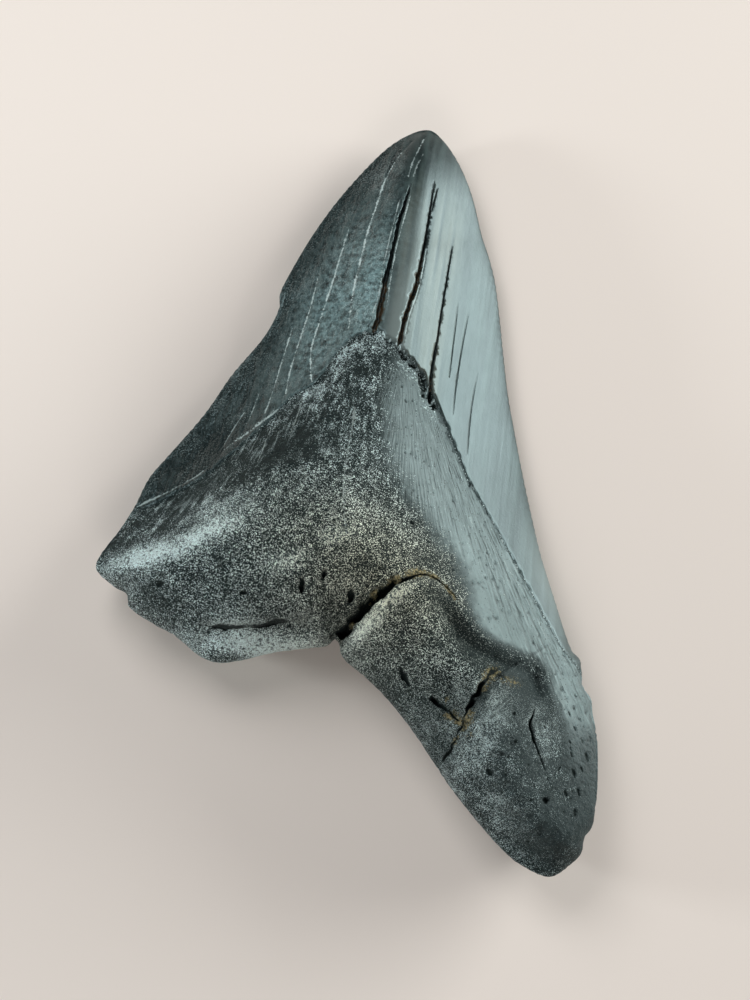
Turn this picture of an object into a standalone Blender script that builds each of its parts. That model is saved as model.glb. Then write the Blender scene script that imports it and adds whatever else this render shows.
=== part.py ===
"""Megalodon tooth: one fossil tooth of dark mineralised enamel and root, lying on its flat labial face.

The crown points along +Y and the lingual side, which bulges, faces up. The body is two height fields over one
outline: the lingual relief above the rim and the labial relief below it. They share the outline's vertices, so
the tooth is a single closed solid. The drawing below is in millimetres, and is fitted to the driving
dimensions at the end.
"""

import bpy
import numpy as np
from mathutils import Vector, geometry, noise

# Driving dimensions, in metres.
TOOTH_LENGTH = 0.127        # tip of the crown to the end of the longer root lobe
TOOTH_WIDTH = 0.0845        # across the root
TOOTH_THICKNESS = 0.0268    # rest face to the top of the root's boss

# Relief, in the drawing's millimetres.
RIM_AT_CROWN = 4.2          # height of the cutting edges above the rest face
RIM_AT_ROOT = 8.5           # height of the root's rim above the rest face
RIM_AT_TIP = 1.2            # how much the crown's tip curves up from the cutting edges
CROWN_FULLNESS = 0.32       # rise of the crown's median ridge for each millimetre of crown width
RIDGE_PLACE = 0.46          # the ridge's share of the way from the distal edge to the mesial edge
RIDGE_SOFTNESS = 0.5        # how widely the ridge is rounded, as a share of the crown's half width
ENAMEL_STEP = 0.5           # how far the enamel stands proud of the root along its broken edge
SHOULDER_SLOPE = 0.42       # how steeply the root rises out of the distal blade
CREST_ROUNDING = 1.7        # 1 is a sharp crest on the root, 2 a broad one
RIM_ROUNDING = 0.62         # 1 is a sharp rim on the root, 0.5 a round one
LABIAL_ROUNDING = 13.0      # how far in from the rim the labial side reaches the rest face
LUMP_HEIGHT = 0.45          # of the root's slow unevenness
LUMP_LENGTH = 8.0

# Mesh spacing, in the drawing's millimetres.
RIM_STEP = 1.9
LINGUAL_STEP = 2.0
LABIAL_STEP = 3.2
LINE_STEP = 1.7             # along cracks, steps and pits
RIM_RINGS = (0.45, 1.5, 3.2)
STEP_WIDTH = (0.3, 0.3)     # half width of a step, such as the enamel's edge
STEP_EDGES = (-1, 1)        # where lines run across a step and a groove, in half widths
NARROW_GROOVE = (-1, 0, 1)
WIDE_GROOVE = (-1, -0.6, 0, 0.6, 1)

# Outline, anticlockwise from the tip as seen from above.
DISTAL_EDGE = [
    (-1.5, 63.1), (-5.0, 61.3), (-9.1, 56.8), (-14.6, 47.4), (-18.5, 38.6), (-21.3, 30.0), (-22.0, 26.6),
    (-21.7, 23.8), (-23.3, 18.2), (-27.3, 10.4), (-30.5, 2.4), (-34.6, -5.8), (-37.0, -10.8), (-38.2, -16.2),
]
DISTAL_LOBE = [
    (-39.6, -20.6), (-41.7, -25.6), (-41.8, -28.2), (-38.8, -30.2), (-36.3, -31.2), (-35.2, -33.4),
    (-31.0, -35.2), (-27.4, -36.5), (-23.4, -38.8), (-20.2, -39.5), (-16.0, -38.3), (-12.1, -36.5),
    (-7.5, -35.0), (-3.9, -34.0),
]
ROOT_NOTCH = [(-3.0, -33.4), (-2.3, -32.5), (-1.5, -33.4), (-0.9, -34.9)]
MESIAL_LOBE = [
    (0.3, -35.9), (2.6, -37.2), (7.0, -40.1), (12.5, -45.0), (17.8, -50.8), (23.4, -56.1), (29.6, -61.0),
    (33.6, -62.9), (36.4, -63.4), (38.2, -62.3), (40.8, -59.3), (41.1, -56.6), (42.1, -54.6), (42.3, -50.0),
    (41.9, -45.2), (41.2, -40.6), (40.1, -37.2), (39.5, -34.8), (38.1, -33.2), (37.4, -30.2), (36.9, -28.6),
]
MESIAL_EDGE = [
    (35.6, -27.6), (34.0, -24.5), (31.3, -18.1), (28.7, -11.7), (25.4, -1.8), (22.2, 8.2), (19.9, 15.4),
    (18.1, 22.5), (16.4, 29.6), (14.6, 36.4), (12.8, 40.9), (11.1, 44.4), (9.7, 48.0), (8.2, 51.7),
    (6.2, 55.5), (3.8, 59.0), (1.1, 61.8),
]

# Where the enamel ends on each side, from the distal edge to the mesial edge.
LINGUAL_ENAMEL_LINE = [
    (-42.0, -19.4), (-37.8, -17.4), (-33.7, -14.8), (-28.6, -10.8), (-24.4, -5.7), (-19.2, 1.0), (-16.6, 5.1),
    (-13.0, 7.9), (-10.5, 13.3), (-8.5, 16.3), (-5.1, 17.8), (-1.0, 16.3), (0.9, 15.0), (4.1, 12.9), (6.9, 8.9),
    (8.8, 6.3), (11.4, 1.8), (14.1, -2.9), (19.5, -9.5), (24.3, -15.6), (29.2, -22.1), (34.0, -28.1),
    (38.0, -31.5),
]
LABIAL_ENAMEL_LINE = [
    (-42.0, -22.0), (-34.0, -21.0), (-24.0, -17.5), (-12.0, -11.5), (-2.0, -9.5), (8.0, -12.5), (20.0, -21.0),
    (31.0, -29.5), (40.0, -34.0),
]

# The root's crest, from the distal lobe's tip over the boss to the mesial lobe's tip: x, y, height over the rim.
CREST = [
    (-41.2, -28.4, 0.8), (-37.7, -28.2, 5.2), (-33.5, -27.0, 9.2), (-29.0, -25.2, 11.4), (-24.0, -22.4, 13.0),
    (-17.0, -19.4, 14.6), (-9.0, -17.6, 16.6), (-2.0, -17.0, 17.6), (4.0, -18.0, 17.2), (9.0, -21.2, 15.4),
    (14.0, -25.2, 13.6), (19.0, -29.6, 12.4), (24.5, -33.4, 11.8), (29.0, -36.0, 11.4), (31.8, -40.0, 11.4),
    (34.0, -46.0, 10.8), (36.2, -52.5, 8.6), (36.9, -58.0, 5.4), (36.4, -62.0, 1.0),
]

# Swellings and hollows of the root: x, y, height, reach along, reach across, direction in degrees.
ROOT_LUMPS = [
    (-14.0, -29.0, 1.4, 12.0, 5.0, 12.0),
    (9.0, -33.0, 1.6, 9.0, 6.0, -40.0),
    (27.0, -50.0, 1.8, 11.0, 5.5, -50.0),
    (25.5, -37.4, -2.4, 5.0, 1.9, -22.0),
]

# Grooves of the lingual side: points, then half widths and depths along them.
ROOT_CRACK = [(-2.3, -31.5), (-0.9, -29.3), (1.2, -27.3), (4.1, -24.9), (7.2, -23.4), (9.6, -23.4), (14.0, -25.6)]
LOBE_CRACK = [(22.9, -36.0), (20.6, -39.0), (19.7, -43.8), (18.5, -47.8)]
GROOVES = [
    (ROOT_CRACK, (1.5, 1.2, 0.6, 0.35), (5.0, 4.0, 1.2, 0.5)),
    (LOBE_CRACK, (0.55, 0.75), (1.2, 1.3)),
    ([(29.4, -40.2), (29.0, -42.4), (30.5, -45.3), (32.2, -48.2)], (0.35, 0.3), (0.8, 0.6)),
    ([(9.0, -38.1), (10.4, -39.7)], (0.45, 0.45), (0.9, 0.9)),
    ([(14.0, -41.0), (16.2, -42.0)], (0.6, 0.6), (1.1, 1.1)),
    ([(-2.7, 48.0), (-3.6, 41.0), (-3.9, 29.0), (-4.3, 20.6)], (0.3, 0.62), (0.4, 1.0)),
    ([(1.7, 49.0), (1.2, 37.0), (0.5, 27.0), (-0.2, 18.6)], (0.3, 0.6), (0.35, 1.0)),
    ([(6.2, 38.0), (6.0, 25.0), (5.7, 14.0)], (0.25, 0.4), (0.3, 0.6)),
]

# How high a crack's lip stands where the root has lifted beside it.
ROOT_LIP = 0.9
LOBE_LIP = 1.3

# The broken strip along the distal lobe, below this line, and the share of the root's height that it has lost.
LEDGE = [(-24.0, -34.0), (-20.6, -35.2), (-15.5, -34.4), (-11.0, -32.6), (-6.2, -31.8)]
LEDGE_LOSS = 0.4

# Foramina and vermicular pits of the root: x, y, radius, depth.
PITS = [
    (-6.0, -25.6, 0.75, 1.3), (-8.8, -27.6, 0.95, 1.5), (-1.6, -26.6, 0.8, 1.4), (17.0, -42.8, 0.7, 0.9),
    (-17.5, -30.6, 0.7, 0.8), (33.2, -53.0, 0.7, 0.8), (24.0, -50.5, 0.8, 0.8), (-30.5, -30.8, 0.8, 0.8),
]


def spline(points, step, closed=False):
    """A smooth curve through the points, as points about one step apart."""
    p = np.array(points, float)
    if closed:
        before, a, b, after = np.roll(p, 1, 0), p, np.roll(p, -1, 0), np.roll(p, -2, 0)
    else:
        q = np.vstack([2 * p[0] - p[1], p, 2 * p[-1] - p[-2]])
        before, a, b, after = q[:-3], q[1:-2], q[2:-1], q[3:]
    t = np.linspace(0, 1, 16, endpoint=False)[None, :, None]
    before, a, b, after = (v[:, None, :] for v in (before, a, b, after))
    curve = 0.5 * (2 * a + (b - before) * t + (2 * before - 5 * a + 4 * b - after) * t**2
                   + (3 * a - before - 3 * b + after) * t**3)
    curve = curve.reshape(-1, p.shape[1])
    curve = np.vstack([curve, curve[:1] if closed else p[-1:]])
    along = np.concatenate([[0], np.cumsum(np.linalg.norm(np.diff(curve, axis=0), axis=1))])
    count = max(2, int(round(along[-1] / step)))
    at = np.linspace(0, along[-1], count + 1)
    if closed:
        at = at[:-1]
    return np.stack([np.interp(at, along, curve[:, k]) for k in range(p.shape[1])], 1)


def nearest(points, path, closed=False):
    """Each point's distance to the path, positive on the path's left, and its share of the way along it."""
    ends = np.roll(path, -1, 0) if closed else path[1:]
    starts = path if closed else path[:-1]
    last = len(starts) - 1
    ahead = (ends - starts) / np.linalg.norm(ends - starts, axis=1)[:, None]
    reach = np.full(len(points), 1e9)
    side = np.ones(len(points))
    share = np.zeros(len(points))
    for i, (a, b) in enumerate(zip(starts, ends)):
        t = np.clip(((points - a) @ (b - a)) / ((b - a) @ (b - a)), 0, 1)
        gap = points - a - t[:, None] * (b - a)
        distance = np.linalg.norm(gap, axis=1)
        before = ahead[i] + ahead[i - 1 if i or closed else 0]
        after = ahead[i] + ahead[(i + 1) % len(starts) if i < last or closed else last]
        way = np.where((t == 0)[:, None], before, np.where((t == 1)[:, None], after, ahead[i]))
        left = way[:, 0] * gap[:, 1] >= way[:, 1] * gap[:, 0]
        nearer = distance < reach
        reach = np.where(nearer, distance, reach)
        side = np.where(nearer, np.where(left, 1, -1), side)
        share = np.where(nearer, (i + t) / len(starts), share)
    return reach * side, share


def along_path(share, values):
    """The value at each share of the way along a path, from values evenly spaced along it."""
    return np.interp(share, np.linspace(0, 1, len(values)), values)


def smooth_step(low, high, value):
    t = np.clip((value - low) / (high - low), 0, 1)
    return t * t * (3 - 2 * t)


def smooth_min(a, b, softness):
    share = np.clip(0.5 + 0.5 * (b - a) / softness, 0, 1)
    return b * (1 - share) + a * share - softness * share * (1 - share)


OUTLINE = spline(DISTAL_EDGE + DISTAL_LOBE + ROOT_NOTCH + MESIAL_LOBE + MESIAL_EDGE, RIM_STEP, closed=True)
DISTAL_SIDE = spline(DISTAL_EDGE + DISTAL_LOBE[:3], 1.0)
MESIAL_SIDE = spline(MESIAL_LOBE[-8:] + MESIAL_EDGE + DISTAL_EDGE[:1], 1.0)
LINGUAL_LINE = spline(LINGUAL_ENAMEL_LINE, LINE_STEP)
LABIAL_LINE = spline(LABIAL_ENAMEL_LINE, LINE_STEP)


def rim_height(p):
    """Height of the outline, and of the surface that the two reliefs grow from."""
    root = smooth_step(8, -34, p[:, 1])
    return RIM_AT_CROWN + (RIM_AT_ROOT - RIM_AT_CROWN) * root + RIM_AT_TIP * smooth_step(30, 64, p[:, 1])


def crown_relief(p):
    """Two slopes that meet in a rounded ridge, nearer the distal edge."""
    distal, mesial = np.abs(nearest(p, DISTAL_SIDE)[0]), np.abs(nearest(p, MESIAL_SIDE)[0])
    width = distal + mesial
    across = distal / np.maximum(width, 1e-6)
    rise = smooth_min(across / RIDGE_PLACE, (1 - across) / (1 - RIDGE_PLACE), RIDGE_SOFTNESS)
    return CROWN_FULLNESS * width * np.maximum(rise, 0) ** 0.9


def root_relief(p, inset):
    """A ridge along the crest that falls away to the rim on both sides."""
    crest = spline(CREST, LINE_STEP)
    from_crest, share = nearest(p, crest[:, :2])
    height = along_path(share, crest[:, 2])
    from_crest = np.abs(from_crest)
    fall = from_crest / np.maximum(from_crest + inset, 1e-6)
    relief = height * (1 - fall**CREST_ROUNDING) ** RIM_ROUNDING
    for x, y, rise, along, across, turn in ROOT_LUMPS:
        c, s = np.cos(np.radians(turn)), np.sin(np.radians(turn))
        u, v = (p[:, 0] - x) * c + (p[:, 1] - y) * s, -(p[:, 0] - x) * s + (p[:, 1] - y) * c
        relief += rise * np.exp(-((u / along) ** 2 + (v / across) ** 2)) * smooth_step(0, 5, inset)
    lumps = np.array([noise.noise(Vector((x, y, 3.0)) / LUMP_LENGTH) for x, y in p])
    return relief + LUMP_HEIGHT * lumps * smooth_step(0, 4, inset)


def broken_share(p):
    """The share of the relief that is missing in the broken strip."""
    gap, share = nearest(p, spline(LEDGE, LINE_STEP))
    ends = smooth_step(0, 0.12, share) * smooth_step(1, 0.9, share)
    return LEDGE_LOSS * smooth_step(0.3, -0.3, gap) * smooth_step(9, 6, np.abs(gap)) * ends


def carving(p, inset):
    """How far cracks and pits sink the lingual side, less the lips that the cracks raise."""
    sunk = np.zeros(len(p))
    for points, half_widths, depths in GROOVES:
        gap, share = nearest(p, spline(points, LINE_STEP))
        across = gap / along_path(share, half_widths)
        sunk += along_path(share, depths) * np.maximum(1 - across**4, 0)
    for x, y, radius, depth in PITS:
        sunk += depth * np.maximum(1 - ((p[:, 0] - x) ** 2 + (p[:, 1] - y) ** 2) / radius**2, 0)
    gap, share = nearest(p, spline(ROOT_CRACK, LINE_STEP))
    sunk -= ROOT_LIP * smooth_step(-0.3, -1.6, gap) * np.exp(-np.abs(gap) / 4) * smooth_step(1, 0.8, share)
    gap, share = nearest(p, spline(LOBE_CRACK, LINE_STEP))
    sunk -= LOBE_LIP * smooth_step(0.2, 1.2, gap) * np.exp(-np.abs(gap) / 5)
    return sunk * smooth_step(0, 2.0, inset)


def lingual_height(p, inset):
    into_root = -nearest(p, LINGUAL_LINE)[0]
    crown = crown_relief(p)
    shoulder = SHOULDER_SLOPE * smooth_step(2, -18, p[:, 0]) * np.maximum(into_root, 0)
    root = smooth_min(crown + shoulder, root_relief(p, inset), 3.0)
    step = ENAMEL_STEP * smooth_step(-0.3, 0.3, into_root) * smooth_step(14, 4, into_root)
    step *= 1 - 0.5 * smooth_step(8, 20, p[:, 0])
    relief = np.where(into_root > 0, root, crown) - step * smooth_step(0, 4, inset)
    return rim_height(p) + np.maximum(relief * (1 - broken_share(p)) - carving(p, inset), 0)


def labial_height(p, inset):
    """Flat where it rests, hollow in the middle of the root, with the enamel standing proud of the root."""
    into_root = -nearest(p, LABIAL_LINE)[0]
    base = rim_height(p)
    short = 1 - np.minimum(inset / LABIAL_ROUNDING, 1)
    fall = (base + 1.0) * np.sqrt(1 - short**2)
    hollow = 1.8 * np.exp(-(((p[:, 0] - 2) / 13) ** 2 + ((p[:, 1] + 24) / 9) ** 2))
    wave = 0.5 * np.array([noise.noise(Vector((x, y, 9.0)) / 11) for x, y in p])
    step = ENAMEL_STEP * smooth_step(-0.3, 0.3, into_root) * smooth_step(16, 3, into_root)
    return np.maximum(base - fall + hollow + wave + step * smooth_step(0, 4, inset), 0)


def rim_rings(outline):
    """Points in rings just inside the outline, where the rim curves most."""
    ahead = np.roll(outline, -1, 0) - np.roll(outline, 1, 0)
    inward = np.stack([-ahead[:, 1], ahead[:, 0]], 1) / np.linalg.norm(ahead, axis=1)[:, None]
    rings = []
    for inset in RIM_RINGS:
        ring = outline + inward * inset
        rings.append(ring[nearest(ring, outline, closed=True)[0] > 0.93 * inset])
    return np.vstack(rings)


def staggered_grid(outline, step):
    """A staggered grid of points inside the innermost ring."""
    low, high = outline.min(0), outline.max(0)
    rows = np.arange(low[1], high[1], step * 0.866)
    grid = [(x + step / 2 * (i % 2), y) for i, y in enumerate(rows) for x in np.arange(low[0], high[0], step)]
    grid = np.array(grid)
    return grid[nearest(grid, outline, closed=True)[0] > RIM_RINGS[-1] + 0.6 * step]


def lines_beside(points, half_widths, shares):
    """Chains of points beside a path, at these shares of its half width to either side."""
    path = spline(points, LINE_STEP)
    ahead = np.gradient(path, axis=0)
    left = np.stack([-ahead[:, 1], ahead[:, 0]], 1) / np.linalg.norm(ahead, axis=1)[:, None]
    reach = along_path(np.linspace(0, 1, len(path)), half_widths)[:, None]
    return [path + left * reach * share for share in shares]


def lingual_lines():
    """Chains of points along every crack and step of the lingual side, so that each keeps a crisp edge."""
    chains = []
    for points, half_widths, _ in GROOVES:
        chains += lines_beside(points, half_widths, WIDE_GROOVE if half_widths[0] > 1 else NARROW_GROOVE)
    chains += lines_beside(LEDGE, STEP_WIDTH, STEP_EDGES)
    chains += lines_beside(LINGUAL_ENAMEL_LINE, STEP_WIDTH, STEP_EDGES)
    for x, y, radius, _ in PITS:
        turn = np.radians(np.arange(0, 360, 60))
        chains.append(np.array([(x, y)]))
        chains.append(np.stack([x + radius * np.cos(turn), y + radius * np.sin(turn)], 1))
    return chains


def triangulate(outline, chains, loose):
    """(points, triangles) over the outline. No inner edge joins two rim points, so the two reliefs never touch."""
    count = len(outline)
    kept, edges = [], [(i, (i + 1) % count) for i in range(count)]
    for chain in chains:
        inside = nearest(chain, outline, closed=True)[0] > 0.8
        for i, point in enumerate(chain):
            if not inside[i]:
                continue
            kept.append(point)
            if i and inside[i - 1]:
                edges.append((count + len(kept) - 2, count + len(kept) - 1))
    kept = np.array(kept)
    room = np.array([np.min(np.linalg.norm(kept - p, axis=1)) for p in loose])
    inner = np.vstack([kept, loose[room > 0.9]])
    while True:
        corners = [Vector(p) for p in np.vstack([outline, inner])]
        found, _, faces, origin, _, _ = geometry.delaunay_2d_cdt(corners, edges, [list(range(count))], 1, 1e-6)
        points = np.array([tuple(v) for v in found])
        order = np.full(len(points), -1)
        for i, sources in enumerate(origin):
            if sources and min(sources) < count:
                order[i] = min(sources)
        order[order < 0] = np.arange(count, len(points))
        points[order] = points.copy()
        points[:count] = outline
        triangles = order[np.array(faces)]
        pairs = np.sort(np.vstack([triangles[:, [0, 1]], triangles[:, [1, 2]], triangles[:, [2, 0]]]), axis=1)
        pairs, uses = np.unique(pairs, axis=0, return_counts=True)
        bridges = pairs[(uses == 2) & (pairs < count).all(axis=1)]
        if not len(bridges):
            return points, triangles
        inner = np.vstack([inner, (outline[bridges[:, 0]] + outline[bridges[:, 1]]) / 2])


def side(chains, step, height):
    """One side's vertices, the outline's first, and its triangles."""
    count = len(OUTLINE)
    loose = np.vstack([rim_rings(OUTLINE), staggered_grid(OUTLINE, step)])
    points, triangles = triangulate(OUTLINE, chains, loose)
    inset = nearest(points, OUTLINE, closed=True)[0]
    z = height(points, np.maximum(inset, 0))
    z[:count] = rim_height(OUTLINE)
    return np.column_stack([points, z]), triangles


def build_tooth():
    count = len(OUTLINE)
    top, top_faces = side(lingual_lines(), LINGUAL_STEP, lingual_height)
    low, low_faces = side(lines_beside(LABIAL_ENAMEL_LINE, STEP_WIDTH, STEP_EDGES), LABIAL_STEP, labial_height)
    vertices = np.vstack([top, low[count:]])
    low_faces = np.where(low_faces < count, low_faces, low_faces + len(top) - count)[:, ::-1]

    lowest, highest = vertices.min(0), vertices.max(0)
    vertices -= ((lowest[0] + highest[0]) / 2, (lowest[1] + highest[1]) / 2, lowest[2])
    vertices *= np.array((TOOTH_WIDTH, TOOTH_LENGTH, TOOTH_THICKNESS)) / (highest - lowest)

    mesh = bpy.data.meshes.new("megalodon_tooth")
    mesh.from_pydata(vertices.tolist(), [], np.vstack([top_faces, low_faces]).tolist())
    mesh.shade_smooth()
    mesh.set_sharp_from_angle(angle=np.radians(50))
    tooth = bpy.data.objects.new("megalodon_tooth", mesh)
    bpy.context.scene.collection.objects.link(tooth)
    return tooth


def fossil_material():
    """Black-green mineral with a satin finish."""
    material = bpy.data.materials.new("fossil")
    material.use_nodes = True
    shader = material.node_tree.nodes["Principled BSDF"]
    shader.inputs["Base Color"].default_value = (0.045, 0.055, 0.056, 1)
    shader.inputs["Roughness"].default_value = 0.42
    shader.inputs["Metallic"].default_value = 0.0
    return material


for old in list(bpy.data.objects):
    bpy.data.objects.remove(old)
build_tooth().data.materials.append(fossil_material())
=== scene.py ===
import math

import bpy
import numpy as np
from mathutils import Matrix, Vector, geometry, kdtree
from mathutils import noise as slowNoise


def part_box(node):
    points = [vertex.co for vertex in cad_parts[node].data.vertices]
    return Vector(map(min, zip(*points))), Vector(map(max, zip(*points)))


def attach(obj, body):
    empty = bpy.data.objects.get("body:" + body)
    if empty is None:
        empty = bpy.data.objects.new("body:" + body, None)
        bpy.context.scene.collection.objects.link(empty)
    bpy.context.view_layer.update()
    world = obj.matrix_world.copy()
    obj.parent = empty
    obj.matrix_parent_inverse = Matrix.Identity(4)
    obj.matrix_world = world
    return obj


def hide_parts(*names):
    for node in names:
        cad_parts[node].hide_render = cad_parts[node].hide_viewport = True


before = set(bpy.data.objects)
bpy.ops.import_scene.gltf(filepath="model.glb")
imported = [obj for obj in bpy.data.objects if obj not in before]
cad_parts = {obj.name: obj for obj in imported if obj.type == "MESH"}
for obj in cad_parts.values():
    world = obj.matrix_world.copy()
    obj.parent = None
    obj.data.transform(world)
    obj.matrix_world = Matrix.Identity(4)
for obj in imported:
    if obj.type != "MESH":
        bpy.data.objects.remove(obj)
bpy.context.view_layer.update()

# A fossil megalodon tooth that lies on its flat labial side, with the lingual side up.
# Its drawing is in mm: +Y to the crown's tip, +X to the longer lobe of the root.
# The lingual and the labial relief are two height fields over one outline, and share its points.

distalEdge = [
    (-1.5, 63.1), (-5, 61.3), (-9.1, 56.8), (-14.6, 47.4), (-18.5, 38.6), (-21.3, 30), (-22, 26.6),
    (-21.7, 23.8), (-23.3, 18.2), (-27.3, 10.4), (-30.5, 2.4), (-34.6, -5.8), (-37, -10.8), (-38.2, -16.2),
]
distalLobe = [
    (-39.6, -20.6), (-41.7, -25.6), (-41.8, -28.2), (-38.8, -30.2), (-36.3, -31.2), (-35.2, -33.4),
    (-31, -35.2), (-27.4, -36.5), (-23.4, -38.8), (-20.2, -39.5), (-16, -38.3), (-12.1, -36.5), (-7.5, -35),
    (-3.9, -34),
]
rootNotch = [(-3, -33.4), (-2.3, -32.5), (-1.5, -33.4), (-0.9, -34.9)]
mesialLobe = [
    (0.3, -35.9), (2.6, -37.2), (7, -40.1), (12.5, -45), (17.8, -50.8), (23.4, -56.1), (29.6, -61),
    (33.6, -62.9), (36.4, -63.4), (38.2, -62.3), (40.8, -59.3), (41.1, -56.6), (42.1, -54.6), (42.3, -50),
    (41.9, -45.2), (41.2, -40.6), (40.1, -37.2), (39.5, -34.8), (38.1, -33.2), (37.4, -30.2), (36.9, -28.6),
]
mesialEdge = [
    (35.6, -27.6), (34, -24.5), (31.3, -18.1), (28.7, -11.7), (25.4, -1.8), (22.2, 8.2), (19.9, 15.4),
    (18.1, 22.5), (16.4, 29.6), (14.6, 36.4), (12.8, 40.9), (11.1, 44.4), (9.7, 48), (8.2, 51.7),
    (6.2, 55.5), (3.8, 59), (1.1, 61.8),
]

# Where the enamel ends on each side, from the distal edge to the mesial edge.
lingualEnamelLine = [
    (-42, -19.4), (-37.8, -17.4), (-33.7, -14.8), (-28.6, -10.8), (-24.4, -5.7), (-19.2, 1), (-16.6, 5.1),
    (-13, 7.9), (-10.5, 13.3), (-8.5, 16.3), (-5.1, 17.8), (-1, 16.3), (0.9, 15), (4.1, 12.9), (6.9, 8.9),
    (8.8, 6.3), (11.4, 1.8), (14.1, -2.9), (19.5, -9.5), (24.3, -15.6), (29.2, -22.1), (34, -28.1),
    (38, -31.5),
]
labialEnamelLine = [
    (-42, -22), (-34, -21), (-24, -17.5), (-12, -11.5), (-2, -9.5), (8, -12.5), (20, -21), (31, -29.5),
    (40, -34),
]

# The root's crest, from the distal lobe's tip over the boss to the mesial lobe's: x, y, height over the rim.
crest = [
    (-41.2, -28.4, 0.8), (-37.7, -28.2, 5.2), (-33.5, -27, 9.2), (-29, -25.2, 11.4), (-24, -22.4, 13),
    (-17, -19.4, 14.6), (-9, -17.6, 16.6), (-2, -17, 17.6), (4, -18, 17.2), (9, -21.2, 15.4),
    (14, -25.2, 13.6), (19, -29.6, 12.4), (24.5, -33.4, 11.8), (29, -36, 11.4), (31.8, -40, 11.4),
    (34, -46, 10.8), (36.2, -52.5, 8.6), (36.9, -58, 5.4), (36.4, -62, 1),
]

# Swellings of the root: x, y, reach along, reach across, direction in degrees, height.
rootLumps = [(-14, -29, 12, 5, 12, 1.4), (9, -33, 9, 6, -40, 1.6), (27, -50, 11, 5.5, -50, 1.8)]

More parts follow.
